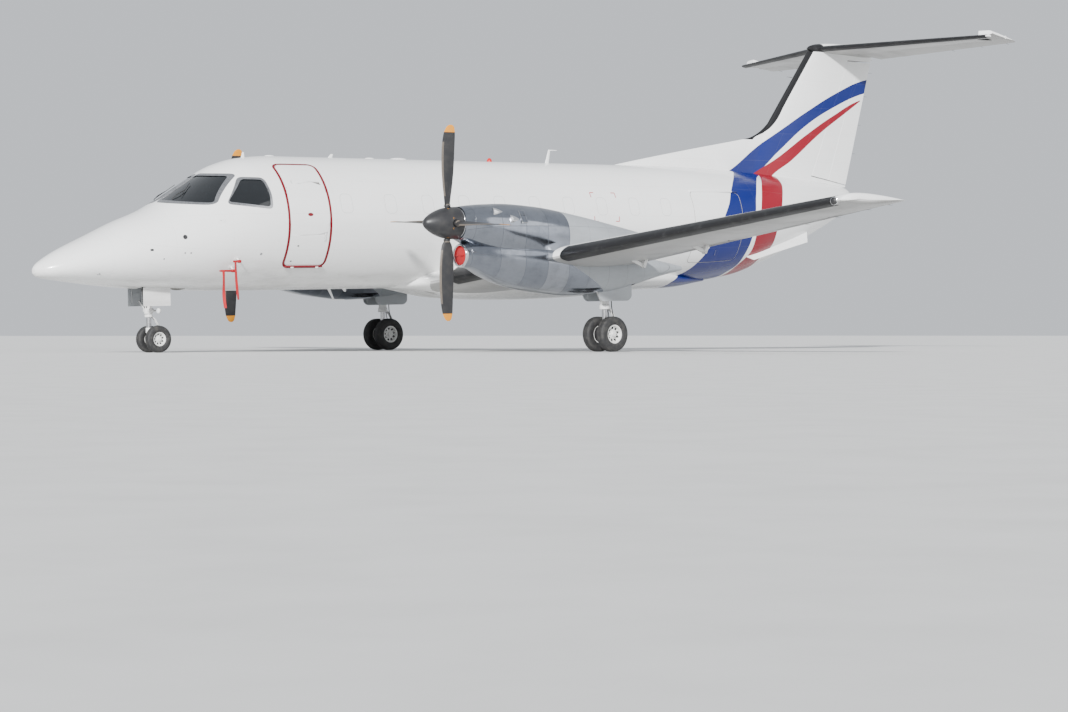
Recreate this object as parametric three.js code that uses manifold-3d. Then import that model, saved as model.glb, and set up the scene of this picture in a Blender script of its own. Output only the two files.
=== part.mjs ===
// Twin-turboprop airliner with a T-tail, parked on its gear. Millimetres, X forward, Y to port, Z up.
// The airframe has its own frame: nose tip at X 0 and the cabin tube's axis along Z 0. A station is a
// distance aft of the nose tip. The whole airframe stands nose down by a small angle on its wheels.
import * as THREE from 'three';
import { mergeVertices } from 'three/addons/utils/BufferGeometryUtils.js';
import Module from 'manifold-3d';

const wasm = await Module();
wasm.setup();

// Driving dimensions
const seam = 0.3;
const play = 6;
const noseDown = 0.0256;
const datumHeight = 2081.3;
const cabinRadius = 1140;
const wallThickness = 75;
const floorHeight = -745;
const tubeSides = 32;
const hollowSides = 16;
const barSides = 8;
const noseSides = 12;

const wing = {
  rootChord: 2810, taper: 0.1426, straightLine: 9070, straightShare: 0.66,
  rootHeight: -1120, dihedral: 0.1145, rootIncidence: 0.035, innerEnd: 350, tip: 9890,
};
const engineLine = { side: 3290, height: -113 };
const propeller = { station: 5761.5, radius: 1600, turned: { left: -0.05, right: -0.12 } };
const noseWheel = { station: 2150, radius: 222.5, width: 140, rim: 115, spacing: 300, axle: 22, sides: 18, trail: 82 };
const mainWheel = { station: 9120, radius: 305, width: 184, rim: 160, spacing: 370, axle: 35, sides: 20 };
const elevatorDroop = 0.2;

// Looks
const look = (color, roughness, metalness) => new THREE.MeshStandardMaterial({ color, roughness, metalness });
const whitePaint = () => look(0xf2f2f0, 0.25, 0);
const bareMetal = () => look(0xb5b8bc, 0.2, 1);
const greyPaint = () => look(0x8d9196, 0.4, 0.1);
const darkPaint = () => look(0x2b2c2e, 0.5, 0.1);
const steel = () => look(0xc8cbce, 0.35, 0.8);
const rubber = () => look(0x1d1d1e, 0.85, 0);
const glass = () => look(0x1c2426, 0.08, 0);
const redCloth = () => look(0xb3262b, 0.7, 0);
const seatCloth = () => look(0x3a3f47, 0.8, 0);

// Solids
const airframe = new THREE.Group();
airframe.rotation.y = noseDown;
airframe.position.z = datumHeight;

const at = (station, port, height) => new THREE.Vector3(-station, port, height);

function solid(geometry) {
  const bare = geometry.clone();
  bare.deleteAttribute('normal');
  bare.deleteAttribute('uv');
  const merged = mergeVertices(bare, 0.001);
  return new wasm.Manifold(new wasm.Mesh({
    numProp: 3,
    vertProperties: new Float32Array(merged.attributes.position.array),
    triVerts: new Uint32Array(merged.index.array),
  }));
}

function geometryOf(shape) {
  const mesh = shape.simplify(0.05).getMesh();
  const geometry = new THREE.BufferGeometry();
  geometry.setAttribute('position', new THREE.BufferAttribute(new Float32Array(mesh.vertProperties), 3));
  geometry.setIndex(new THREE.BufferAttribute(new Uint32Array(mesh.triVerts), 1));
  geometry.computeVertexNormals();
  return geometry;
}

function piece(name, shape, material, parent = airframe) {
  const mesh = new THREE.Mesh(geometryOf(shape), material);
  mesh.name = name;
  parent.add(mesh);
  return mesh;
}

// The corner radius of a hole whose flats clear a turning shaft by the seam.
const boreFor = (shaft, sides = barSides) => (shaft + seam) / Math.cos(Math.PI / sides);
// That hole for a shaft made with bar(). It is turned half a side, so the shaft's corners meet its flats.
const bore = (from, to, shaft) => bar(from, to, boreFor(shaft), boreFor(shaft), barSides, Math.PI / barSides);
// The same for a swinging nose or boss, which clears its hollow by the running play.
const hollowFor = (nose, sides = barSides) => (nose + play) / Math.cos(Math.PI / sides);

const fuse = (...shapes) => shapes.reduce((sum, shape) => sum.add(shape));

// A closed solid through rings of points, each with as many points as the next. The end caps are
// ladders between the ring's two halves.
function loft(rings) {
  const size = rings[0].length;
  const index = [];
  for (let ring = 0; ring + 1 < rings.length; ring++) {
    for (let i = 0; i < size; i++) {
      const a = ring * size + i;
      const b = ring * size + ((i + 1) % size);
      index.push(a, b, a + size, b, b + size, a + size);
    }
  }
  const last = (rings.length - 1) * size;
  for (let i = 0, j = size - 1; i + 1 < j; i++, j--) {
    index.push(i + 1, i, j, last + i, last + i + 1, last + j);
    if (i + 1 < j - 1) {
      index.push(j - 1, i + 1, j, last + i + 1, last + j - 1, last + j);
    }
  }
  const points = rings.flat();
  let volume = 0;
  for (let k = 0; k < index.length; k += 3) {
    volume += points[index[k]].dot(points[index[k + 1]].clone().cross(points[index[k + 2]]));
  }
  if (volume < 0) {
    index.reverse();
  }
  const geometry = new THREE.BufferGeometry().setFromPoints(points);
  geometry.setIndex(index);
  return solid(geometry);
}

// A box between two opposite corners given as station, port, height.
function box([s0, y0, z0], [s1, y1, z1]) {
  const geometry = new THREE.BoxGeometry(Math.abs(s1 - s0), Math.abs(y1 - y0), Math.abs(z1 - z0));
  geometry.translate(-(s0 + s1) / 2, (y0 + y1) / 2, (z0 + z1) / 2);
  return solid(geometry);
}

// A round bar between two points, with a radius at each end.
function bar(from, to, radius, endRadius = radius, sides = barSides, turn = 0) {
  const length = from.distanceTo(to);
  const geometry = new THREE.CylinderGeometry(endRadius, radius, length, sides, 1, false, turn);
  const lean = new THREE.Quaternion().setFromUnitVectors(
    new THREE.Vector3(0, 1, 0), to.clone().sub(from).normalize());
  geometry.applyQuaternion(lean);
  geometry.translate((from.x + to.x) / 2, (from.y + to.y) / 2, (from.z + to.z) / 2);
  return solid(geometry);
}

// A plate or block about a centre, with its three directions and its three whole lengths.
function block(centre, [alongX, alongY, alongZ], [lx, ly, lz]) {
  const geometry = new THREE.BoxGeometry(lx, ly, lz);
  const turn = new THREE.Matrix4().makeBasis(alongX, alongY, alongZ);
  geometry.applyMatrix4(turn.setPosition(centre));
  return solid(geometry);
}

// A prism over an outline of [across, up] pairs. The outline lies in the plane of two axes and the
// prism runs along the third one.
function prism(outline, axis, from, to) {
  const place = {
    x: ([y, z], s) => at(s, y, z),
    y: ([s, z], y) => at(s, y, z),
    z: ([s, y], z) => at(s, y, z),
  }[axis];
  const shape = new THREE.Shape(outline.map(([a, b]) => new THREE.Vector2(a, b)));
  const geometry = new THREE.ExtrudeGeometry(shape, { depth: to - from, bevelEnabled: false });
  const position = geometry.attributes.position;
  for (let i = 0; i < position.count; i++) {
    const moved = place([position.getX(i), position.getY(i)], from + position.getZ(i));
    position.setXYZ(i, moved.x, moved.y, moved.z);
  }
  const merged = mergeVertices(stripped(geometry), 0.001);
  return outward(merged);
}

function stripped(geometry) {
  geometry.deleteAttribute('normal');
  geometry.deleteAttribute('uv');
  return geometry;
}

// Turns the faces of a closed mesh outward where its outline was drawn the other way round.
function outward(geometry) {
  const index = Array.from(geometry.index.array);
  const position = geometry.attributes.position;
  const corner = (k) => new THREE.Vector3().fromBufferAttribute(position, index[k]);
  let volume = 0;
  for (let k = 0; k < index.length; k += 3) {
    volume += corner(k).dot(corner(k + 1).cross(corner(k + 2)));
  }
  if (volume < 0) {
    index.reverse();
  }
  geometry.setIndex(index);
  return solid(geometry);
}

// Smooth curve through a table whose first column is the station. It never overshoots a row.
function tableCurve(rows) {
  const slopes = rows.map(() => []);
  const rise = (k, c) => (rows[k + 1][c] - rows[k][c]) / (rows[k + 1][0] - rows[k][0]);
  rows.forEach((row, k) => {
    for (let c = 1; c < row.length; c++) {
      const before = k > 0 ? rise(k - 1, c) : rise(0, c);
      const after = k < rows.length - 1 ? rise(k, c) : before;
      slopes[k][c] = before * after > 0 ? 2 * before * after / (before + after) : 0;
    }
  });
  return (x) => {
    let k = 0;
    while (k < rows.length - 2 && x > rows[k + 1][0]) {
      k++;
    }
    const step = rows[k + 1][0] - rows[k][0];
    const t = Math.min(1, Math.max(0, (x - rows[k][0]) / step));
    return rows[k].slice(1).map((value, i) => {
      const next = rows[k + 1][i + 1];
      const bend = t * (1 - t) * (1 - t) * step * slopes[k][i + 1] - t * t * (1 - t) * step * slopes[k + 1][i + 1];
      return value + (next - value) * t * t * (3 - 2 * t) + bend;
    });
  };
}

// A ring across the body: two half ovals that meet at the widest line. Power 2 is an ellipse and a
// larger one is squarer.
function ovalRing(station, side, [top, bottom, halfWidth, widest], grow = 0, power = 2, sides = tubeSides) {
  const ring = [];
  for (let i = 0; i < sides; i++) {
    const angle = (i + 0.5) / sides * 2 * Math.PI;
    const soft = (value) => Math.sign(value) * Math.abs(value) ** (2 / power);
    const reach = Math.cos(angle) > 0 ? top - widest + grow : widest - bottom + grow;
    ring.push(at(station, side + (halfWidth + grow) * soft(Math.sin(angle)), widest + reach * soft(Math.cos(angle))));
  }
  return ring;
}

// Fuselage. Columns: station, top, bottom, half width, height of the widest line.
const fuselageAt = tableCurve([
  [0, -735, -815, 40, -775],
  [40, -680, -860, 110, -772],
  [150, -600, -895, 230, -760],
  [420, -450, -935, 400, -720],
  [1000, -195, -1010, 640, -610],
  [1500, 25, -1062, 790, -520],
  [2000, 215, -1095, 905, -430],
  [2300, 370, -1108, 960, -370],
  [3050, 815, -1130, 1065, -200],
  [3400, 985, -1136, 1100, -110],
  [3800, 1090, -1139, 1128, -40],
  [4400, 1140, -1140, 1140, 0],
  [12900, 1140, -1140, 1140, 0],
  [13700, 1135, -1134, 1132, 10],
  [15000, 1090, -1012, 1050, 90],
  [16000, 1030, -733, 890, 220],
  [17000, 960, -362, 660, 370],
  [18000, 870, 50, 400, 490],
  [18500, 790, 290, 240, 550],
  [18730, 660, 440, 100, 552],
]);
const fuselageLoft = (stations, grow = 0, sides = tubeSides) => loft(
  stations.map((station) => ovalRing(station, 0, fuselageAt(station), grow, 2, sides)));

const radomeEnd = 1060;
const noseEnd = 3950;
const centreEnd = 12750;
const noseStations = [radomeEnd + seam, 1400, 1750, 2050, 2300, 2675, 3050, 3300, 3600, noseEnd];
const aftStations = [centreEnd + seam, 13300, 14000, 14700, 15400, 16100, 16900, 17600, 18200, 18550, 18730];

const tubeCut = fuselageLoft([4400, centreEnd, ...aftStations], seam);

const radome = fuselageLoft([0, 20, 90, 240, 500, 780, radomeEnd]);

// Flight deck: a hollow over its floor, between the forward bulkhead and the entry's bulkhead
const deck = { from: 2060, to: 3890, skin: 60 };
const deckHollow = fuselageLoft([deck.from, 2300, 2675, 3050, 3400, deck.to], -deck.skin, hollowSides)
  .intersect(box([deck.from - 10, -1200, floorHeight], [deck.to + 10, 1200, 1300]));

// Windows of the flight deck. The windshield's outline is drawn from the front, the side window's
// from the side.
const windshieldOutline = (side, grow) => [
  [side * (28 - grow), 365 - grow], [side * (28 - grow), 800 + grow],
  [side * (625 + grow), 768 + grow], [side * (868 + grow), 282 - grow],
];
const sideWindowOutline = (grow) => [
  [3059 - grow, 300 - grow], [3413 - grow, 712 + grow], [3790 + grow, 700 + grow], [3828 + grow, 450],
  [3800 + grow, 215 - grow],
];
const post = 70;
const sideWindowHole = (side, grow) => prism(
  sideWindowOutline(grow), 'y', side > 0 ? 450 : -1300, side > 0 ? 1300 : -450);
const windshieldHole = (side, grow) => prism(windshieldOutline(side, grow), 'x', 2150, 3450)
  .subtract(sideWindowHole(side, post - grow));

const glassThickness = 25;
const deckSkinStations = [2150, 2300, 2675, 3050, 3300, 3600, 3880];
const deckGlass = fuselageLoft(deckSkinStations, -6).subtract(
  fuselageLoft([2140, 2300, 2675, 3050, 3300, 3600, 3890], -6 - glassThickness));

// Doorway from the entry to the flight deck
const deckDoor = box([3860, -300, floorHeight], [4060, 300, 950]);

// Nose gear bay
const noseBay = box([1800, -260, -1200], [2620, 260, -800]);

let noseShell = fuselageLoft(noseStations).subtract(deckHollow).subtract(deckDoor).subtract(noseBay);
const panes = [];
for (const [word, side] of [['left', 1], ['right', -1]]) {
  noseShell = noseShell.subtract(windshieldHole(side, 0)).subtract(sideWindowHole(side, 0));
  panes.push(
    [`windshield_${word}`, deckGlass.intersect(windshieldHole(side, -seam))],
    [`side_window_${word}`, deckGlass.intersect(sideWindowHole(side, -seam))]);
}

// Hinges. The parent holds an eye on an arm, and the child a pin that spans a notch around it.
const hingeSize = { pin: 9, eye: 20, plate: 22, notch: 36 };

function hinge(point, along, into, { arm, reach = 400 }) {
  const up = new THREE.Vector3().crossVectors(along, into).normalize();
  const frame = [along, into, up];
  const half = (length) => along.clone().multiplyScalar(length / 2);
  const slot = hingeSize.eye + play;
  return {
    notch: block(point.clone().addScaledVector(into, slot - 200), frame, [hingeSize.notch, 400, reach]),
    pin: bar(point.clone().sub(half(hingeSize.notch + 16)), point.clone().add(half(hingeSize.notch + 16)), hingeSize.pin),
    arm: fuse(
      bar(point.clone().sub(half(hingeSize.plate)), point.clone().add(half(hingeSize.plate)), hingeSize.eye),
      block(point.clone().addScaledVector(into, -arm / 2), frame, [hingeSize.plate, arm, 2 * hingeSize.eye - 4]),
    ),
    hole: bore(point.clone().sub(half(60)), point.clone().add(half(60)), hingeSize.pin),
  };
}

// Entry behind the flight deck, and the passenger door with its steps
const entry = { from: 4040, to: 5060 };
const passengerDoor = { from: 4150, to: 4924, sill: -745, top: 955 };
const tubeInside = (from, to) => fuselageLoft([from, to], -wallThickness, hollowSides);
const entryHollow = tubeInside(entry.from, entry.to)
  .intersect(box([entry.from - 10, -1200, floorHeight], [entry.to + 10, 1200, 1200]));

// A wedge of the tube's wall from a level sill to a top edge that runs straight out from the axis.
function wallWedge([from, to], sill, top, grow, side = 1) {
  const slope = Math.asin(top / cabinRadius);
  const lift = grow / Math.cos(slope);
  const reach = 1500;
  const outline = [
    [side * 400, sill - grow], [side * reach, sill - grow],
    [side * reach, reach * Math.tan(slope) + lift], [side * 400, 400 * Math.tan(slope) + lift],
  ];
  return prism(outline, 'x', from - grow, to + grow);
}

const doorWall = fuselageLoft([4000, 5100]).subtract(fuselageLoft([3990, 5110], -wallThickness));
const doorHinge = { y: 876, z: -757 };
const doorHingeStations = [4290, 4784];
const doorBoss = bar(at(passengerDoor.from, doorHinge.y, doorHinge.z), at(passengerDoor.to, doorHinge.y, doorHinge.z), 20);
const doorBossRoom = bar(
  at(passengerDoor.from - play, doorHinge.y, doorHinge.z), at(passengerDoor.to + play, doorHinge.y, doorHinge.z),
  hollowFor(20));

let doorShape = doorWall.intersect(
  wallWedge([passengerDoor.from, passengerDoor.to], passengerDoor.sill, passengerDoor.top, 0)).add(doorBoss);
const steps = { count: 5, lowest: -560, rise: 300, width: 560, depth: 230, thickness: 40, openAngle: 130 };
for (let i = 0; i < steps.count; i++) {
  const height = steps.lowest + i * steps.rise;
  const inner = Math.sqrt((cabinRadius - wallThickness) ** 2 - height ** 2);
  const turn = THREE.MathUtils.degToRad(steps.openAngle);
  const across = new THREE.Vector3(1, 0, 0);
  const inward = new THREE.Vector3(0, Math.cos(turn), Math.sin(turn));
  const normal = new THREE.Vector3().crossVectors(across, inward);
  const foot = at((passengerDoor.from + passengerDoor.to) / 2, inner + 20, height);
  const middle = foot.addScaledVector(inward, steps.depth / 2 - 40);
  doorShape = doorShape.add(block(
    middle, [across, inward, normal], [steps.width, steps.depth, steps.thickness]));
}
// The rear end of the cabin, open to the doorway of the hold
const rearCabinFrom = 10400;
const rearCabin = tubeInside(rearCabinFrom, centreEnd + 10)
  .intersect(box([rearCabinFrom - 10, -1200, floorHeight], [centreEnd + 20, 1200, 1200]));
const alongStation = new THREE.Vector3(1, 0, 0);
let centreShell = fuselageLoft([noseEnd + seam, 4400, centreEnd])
  .subtract(entryHollow)
  .subtract(deckDoor)
  .subtract(rearCabin)
  .subtract(wallWedge([passengerDoor.from, passengerDoor.to], passengerDoor.sill, passengerDoor.top, play))
  .subtract(doorBossRoom);
for (const station of doorHingeStations) {
  const parts = hinge(at(station, doorHinge.y, doorHinge.z), alongStation, new THREE.Vector3(0, 0.9, 0.43).normalize(),
    { arm: 100, reach: 120 });
  doorShape = doorShape.subtract(parts.notch).add(parts.pin);
  centreShell = centreShell.add(parts.arm).subtract(parts.hole);
}

// Cargo hold and its door at the port rear
const hold = { from: centreEnd + 150, to: 15300, tailFrom: 15380, tailTo: 17600 };
const cargoDoor = { from: 13300, to: 14600, sill: -750, top: 600 };
const aftOuter = fuselageLoft(aftStations);
const holdHollow = fuselageLoft([hold.from, 13300, 14000, 14700, hold.to], -wallThickness, hollowSides)
  .intersect(box([hold.from - 10, -1300, cargoDoor.sill], [hold.to + 10, 1300, 1300]));
const tailHollow = fuselageLoft([hold.tailFrom, 16100, 16900, hold.tailTo], -wallThickness, hollowSides);
const bulkheadDoor = box([hold.to - 20, -280, -300], [hold.tailFrom + 20, 280, 500]);
const cabinDoor = box([centreEnd - 20, -280, -700], [hold.from + 20, 280, 900]);

function holdWedge(grow) {
  const top = Math.asin(cargoDoor.top / cabinRadius);
  const low = Math.asin(cargoDoor.sill / cabinRadius);
  const reach = 1500;
  const outline = [
    [400, 400 * Math.tan(low) - grow / Math.cos(low)], [reach, reach * Math.tan(low) - grow / Math.cos(low)],
    [reach, reach * Math.tan(top) + grow / Math.cos(top)], [400, 400 * Math.tan(top) + grow / Math.cos(top)],
  ];
  return prism(outline, 'x', cargoDoor.from - grow, cargoDoor.to + grow);
}

// The skin's point at a given height on the port side, pushed out by a distance.
function skinPoint(station, height, out) {
  const [top, bottom, halfWidth, widest] = fuselageAt(station);
  const reach = height > widest ? top - widest : widest - bottom;
  const rise = (height - widest) / reach;
  return at(station, (halfWidth + out) * Math.sqrt(1 - rise * rise), height + out * rise);
}

const cargoBoss = { radius: 24, lift: 6, out: 4 };
const cargoHingeEnds = [cargoDoor.from, cargoDoor.to].map(
  (station) => skinPoint(station, cargoDoor.top + cargoBoss.lift, cargoBoss.out));
const cargoAlong = cargoHingeEnds[0].clone().sub(cargoHingeEnds[1]).normalize();
const cargoWall = fuselageLoft([13200, 13300, 14000, 14700]).subtract(
  fuselageLoft([13190, 13300, 14000, 14710], -wallThickness));
let cargoShape = cargoWall.intersect(holdWedge(0)).add(bar(cargoHingeEnds[0], cargoHingeEnds[1], cargoBoss.radius));
let aftShell = aftOuter.subtract(holdHollow).subtract(tailHollow).subtract(bulkheadDoor).subtract(cabinDoor)
  .subtract(holdWedge(2 * play))
  .subtract(bar(cargoHingeEnds[0].clone().addScaledVector(cargoAlong, play),
    cargoHingeEnds[1].clone().addScaledVector(cargoAlong, -play), hollowFor(cargoBoss.radius)));
for (const share of [0.2, 0.8]) {
  const point = cargoHingeEnds[0].clone().lerp(cargoHingeEnds[1], share);
  const into = new THREE.Vector3(0, 0.87, -0.5).projectOnPlane(cargoAlong).normalize();
  const parts = hinge(point, cargoAlong, into, { arm: 100, reach: 120 });
  cargoShape = cargoShape.subtract(parts.notch).add(parts.pin);
  aftShell = aftShell.add(parts.arm).subtract(parts.hole);
}

// Aerofoils. A ring runs from the trailing edge over the top to the nose and back underneath.
const aerofoilPoints = 7;

function aerofoilShare(i) {
  return 0.5 * (1 + Math.cos(Math.PI * i / aerofoilPoints));
}

function thicknessShare(x) {
  return 5 * (0.2969 * Math.sqrt(x) - 0.126 * x - 0.3516 * x * x + 0.2843 * x ** 3 - 0.1015 * x ** 4);
}

// Height of the forward-loaded camber line, as a share of the chord.
function camberShare(x) {
  const bend = 0.2025;
  const scale = 15.957 / 6;
  return x < bend ? scale * (x ** 3 - 3 * bend * x * x + bend * bend * (3 - bend) * x) : scale * bend ** 3 * (1 - x);
}

// Draws the section with place(share of the chord, height as a share of the chord).
function aerofoilRing(thickness, camber, place) {
  const ring = [];
  for (let i = 0; i <= aerofoilPoints; i++) {
    const x = aerofoilShare(i);
    ring.push(place(x, camber * camberShare(x) + thickness * thicknessShare(x)));
  }
  for (let i = aerofoilPoints - 1; i >= 0; i--) {
    const x = aerofoilShare(i);
    ring.push(place(x, camber * camberShare(x) - thickness * thicknessShare(x)));
  }
  return ring;
}

// Wing
const wingChord = (y) => wing.rootChord - wing.taper * y;
const wingNose = (y) => wing.straightLine - wing.straightShare * wingChord(y);
const wingThickness = (y) => 0.18 - 0.06 * y / wing.tip;
const wingIncidence = (y) => wing.rootIncidence * (1 - y / wing.tip);

function sectionPoint(side, y, x, rise) {
  const chord = wingChord(y);
  const tilt = wingIncidence(y);
  const height = wing.rootHeight + wing.dihedral * y;
  return at(wingNose(y) + chord * (x * Math.cos(tilt) + rise * Math.sin(tilt)), side * y,
    height + chord * (rise * Math.cos(tilt) - x * Math.sin(tilt)));
}

// Every line along the wing is straight between the sections at its two ends.
const wingEnds = [wing.innerEnd, wing.tip - 60];
const shareAlong = (y) => (y - wingEnds[0]) / (wingEnds[1] - wingEnds[0]);
const wingPoint = (side, y, x, rise) => {
  const [inner, outer] = wingEnds.map((end) => sectionPoint(side, end, x, rise));
  return inner.lerp(outer, shareAlong(y));
};
const middleLine = (side, y, share) => wingPoint(side, y, share, camberShare(share));
const halfThickness = (y, share) => {
  const [inner, outer] = wingEnds.map((end) => wingChord(end) * wingThickness(end));
  return THREE.MathUtils.lerp(inner, outer, shareAlong(y)) * thicknessShare(share);
};

// Grow widens the section about its middle by a few tenths of a millimetre.
function wingRing(side, y, grow = 0, slim = 1) {
  const chord = wingChord(y);
  return aerofoilRing(wingThickness(y) * slim, 1, (x, rise) => {
    const middle = camberShare(x);
    const away = Math.sign(rise - middle) * grow / chord;
    return wingPoint(side, y, 0.5 + (x - 0.5) * (1 + 2 * grow / chord) * (0.5 + 0.5 * slim), rise + away);
  });
}

// The whole wing with a rounded tip. Columns of the tip: distance from the middle, slimness.
const wingTipTable = [[wingEnds[1], 1], [wing.tip - 20, 0.8], [wing.tip, 0.35]];

function wingBody(side, grow = 0) {
  const inner = wing.innerEnd - (grow > 0 ? seam : 0);
  return loft([wingRing(side, inner, grow), ...wingTipTable.map(([y, slim]) => wingRing(side, y, grow, slim))]);
}

// The part of the wing behind a share of the chord, between two distances from the middle.
function behind(side, share, y0, y1, shift = 0, tall = 600) {
  const ring = (y) => {
    const front = wingPoint(side, y, share, 0).x - shift;
    const z = wingPoint(side, y, share, 0).z;
    const back = front - 1400;
    return [[front, z + tall], [back, z + tall], [back, z - tall], [front, z - tall]]
      .map(([x, height]) => new THREE.Vector3(x, side * y, height));
  };
  return loft([ring(y0), ring(y1)]);
}

// Flaps and ailerons: name, inner end, outer end, share of the chord, hinge drop below the surface
const flapTable = [
  { name: 'flap_inner', from: 1290, to: 2820, share: 0.74, drop: 130, hinges: [0.2, 0.8] },
  { name: 'flap_outer', from: 3780, to: 6300, share: 0.74, drop: 110, hinges: [0.2, 0.8] },
];
const aileronRow = { from: 6340, to: 9560, share: 0.77, hinges: [0.12, 0.88] };

// A slab across the wing between two points of a hinge line, with both faces square to that line.
function slab([from, to], grow) {
  const along = to.clone().sub(from).normalize();
  const deep = new THREE.Vector3(1, 0, 0).projectOnPlane(along).normalize();
  const up = new THREE.Vector3().crossVectors(along, deep);
  return block(from.clone().lerp(to, 0.5), [along, deep, up], [from.distanceTo(to) + 2 * grow, 6000, 2000]);
}

const shroudExtra = 4;
const noseEnds = (side, { from, to, share }) => [from, to].map(
  (y) => ({ point: middleLine(side, y, share), radius: halfThickness(y, share) }));

// A moving surface with its round nose, and the hollow that its nose turns in. It ends square to its
// hinge line, so it swings without closing the gaps at its ends.
function movingStrip(side, row, hingeEnds) {
  const beyond = 100;
  const ends = noseEnds(side, { ...row, from: row.from - beyond, to: row.to + beyond });
  const noseBar = (size) => bar(ends[0].point, ends[1].point, size(ends[0].radius), size(ends[1].radius), noseSides);
  const shape = wingBody(side).intersect(behind(side, row.share, row.from - beyond, row.to + beyond))
    .add(noseBar((radius) => radius)).intersect(slab(hingeEnds, 0));
  const room = noseBar((radius) => hollowFor(radius + shroudExtra, noseSides));
  return { shape, room };
}

// A flap's hinge lies below its nose.
function flapHingeEnds(side, row) {
  return noseEnds(side, row).map(
    ({ point, radius }) => point.clone().add(new THREE.Vector3(radius, 0, -radius - row.drop)));
}

function wingWithSurfaces(side) {
  const moving = [];
  let body = wingBody(side);
  for (const row of flapTable) {
    const hingeEnds = flapHingeEnds(side, row);
    let flap = movingStrip(side, row, hingeEnds).shape;
    body = body.subtract(behind(side, row.share, row.from - 200, row.to + 200,
      -halfThickness(row.from, row.share) - play).intersect(slab(hingeEnds, play)));
    const along = hingeEnds[1].clone().sub(hingeEnds[0]).normalize();
    for (const share of row.hinges) {
      const point = hingeEnds[0].clone().lerp(hingeEnds[1], share);
      const top = point.clone().add(new THREE.Vector3(-90, 0, row.drop + 60));
      const up = top.clone().sub(point);
      const length = up.length();
      up.addScaledVector(along, -up.dot(along)).normalize();
      const deep = new THREE.Vector3().crossVectors(along, up);
      for (const cheek of [-25, 25]) {
        flap = flap.add(block(point.clone().addScaledVector(up, length / 2 - 10).addScaledVector(along, cheek),
          [along, up, deep], [14, length + 20, 60]));
      }
      flap = flap.add(bar(point.clone().addScaledVector(along, -30), point.clone().addScaledVector(along, 30), 9));
      const root = point.clone().add(new THREE.Vector3(420, 0, row.drop + 90));
      const armUp = root.clone().sub(point);
      const armLength = armUp.length();
      armUp.addScaledVector(along, -armUp.dot(along)).normalize();
      const armDeep = new THREE.Vector3().crossVectors(along, armUp);
      body = body
        .add(block(point.clone().addScaledVector(armUp, armLength / 2), [along, armUp, armDeep], [24, armLength, 60]))
        .add(bar(point.clone().addScaledVector(along, -12), point.clone().addScaledVector(along, 12), 30))
        .subtract(bore(point.clone().addScaledVector(along, -40), point.clone().addScaledVector(along, 40), 9));
    }
    moving.push([row.name, flap]);
  }
  const aileronEnds = noseEnds(side, aileronRow).map(({ point }) => point);
  const strip = movingStrip(side, aileronRow, aileronEnds);
  body = body.subtract(fuse(behind(side, aileronRow.share, aileronRow.from - 200, aileronRow.to + 200, -2), strip.room)
    .intersect(slab(aileronEnds, play)));
  let aileron = strip.shape;
  const along = aileronEnds[1].clone().sub(aileronEnds[0]).normalize();
  const into = new THREE.Vector3(-1, 0, 0).addScaledVector(along, along.x).normalize();
  for (const share of aileronRow.hinges) {
    const parts = hinge(aileronEnds[0].clone().lerp(aileronEnds[1], share), along, into, { arm: 150 });
    aileron = aileron.subtract(parts.notch).add(parts.pin);
    body = body.add(parts.arm).subtract(parts.hole);
  }
  moving.push(['aileron', aileron]);
  return { body, moving };
}

// Wing-to-body fairing. Columns: station, top, bottom, half width, height of the widest line.
const fairingAt = tableCurve([
  [6900, -1060, -1142, 250, -1100],
  [7300, -800, -1200, 760, -1000],
  [8070, -700, -1335, 1060, -960],
  [9600, -650, -1390, 1130, -960],
  [10900, -700, -1365, 1090, -960],
  [12500, -780, -1252, 860, -1000],
  [13400, -940, -1222, 600, -1060],
  [14300, -1000, -1114, 260, -1080],
]);
const fairingStations = [6900, 7300, 8070, 9600, 10900, 12500, 13400, 14300];
const fairingLoft = (grow = 0) => loft(fairingStations.map((s) => ovalRing(s, 0, fairingAt(s), grow, 2.4, 20)));

// Nacelle: the engine cowl above and the gear's fairing below. Columns as for the fairing.
const cowlAt = tableCurve([
  [5950, 157, -383, 270, -113],
  [6100, 176, -450, 345, -130],
  [6400, 200, -600, 440, -180],
  [6800, 212, -760, 500, -230],
  [7500, 172, -820, 520, -290],
  [8400, 30, -820, 500, -360],
  [9500, -185, -780, 380, -450],
  [10150, -320, -640, 190, -480],
]);
const chinAt = tableCurve([
  [6030, -452, -832, 190, -642],
  [6200, -400, -870, 270, -640],
  [6450, -360, -988, 370, -660],
  [6900, -330, -1150, 465, -700],
  [7340, -330, -1236, 500, -740],
  [8280, -400, -1331, 480, -860],
  [8990, -500, -1312, 440, -900],
  [9600, -600, -1200, 350, -930],
  [10300, -740, -1040, 200, -900],
  [10900, -850, -930, 50, -890],
]);
const cowlStations = [5950, 6100, 6400, 6800, 7500, 8400, 9500, 10150];
const chinStations = [6030, 6200, 6450, 6900, 7500, 8280, 9100, 10300, 10900];
const bay = { from: 8720, to: 9660, side: 215, roof: -1020 };
const exhaust = { radius: 130, depth: 500 };
const intake = { radius: 160, depth: 420, height: -642, lip: 6030 };
const firewall = 8340;

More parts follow.
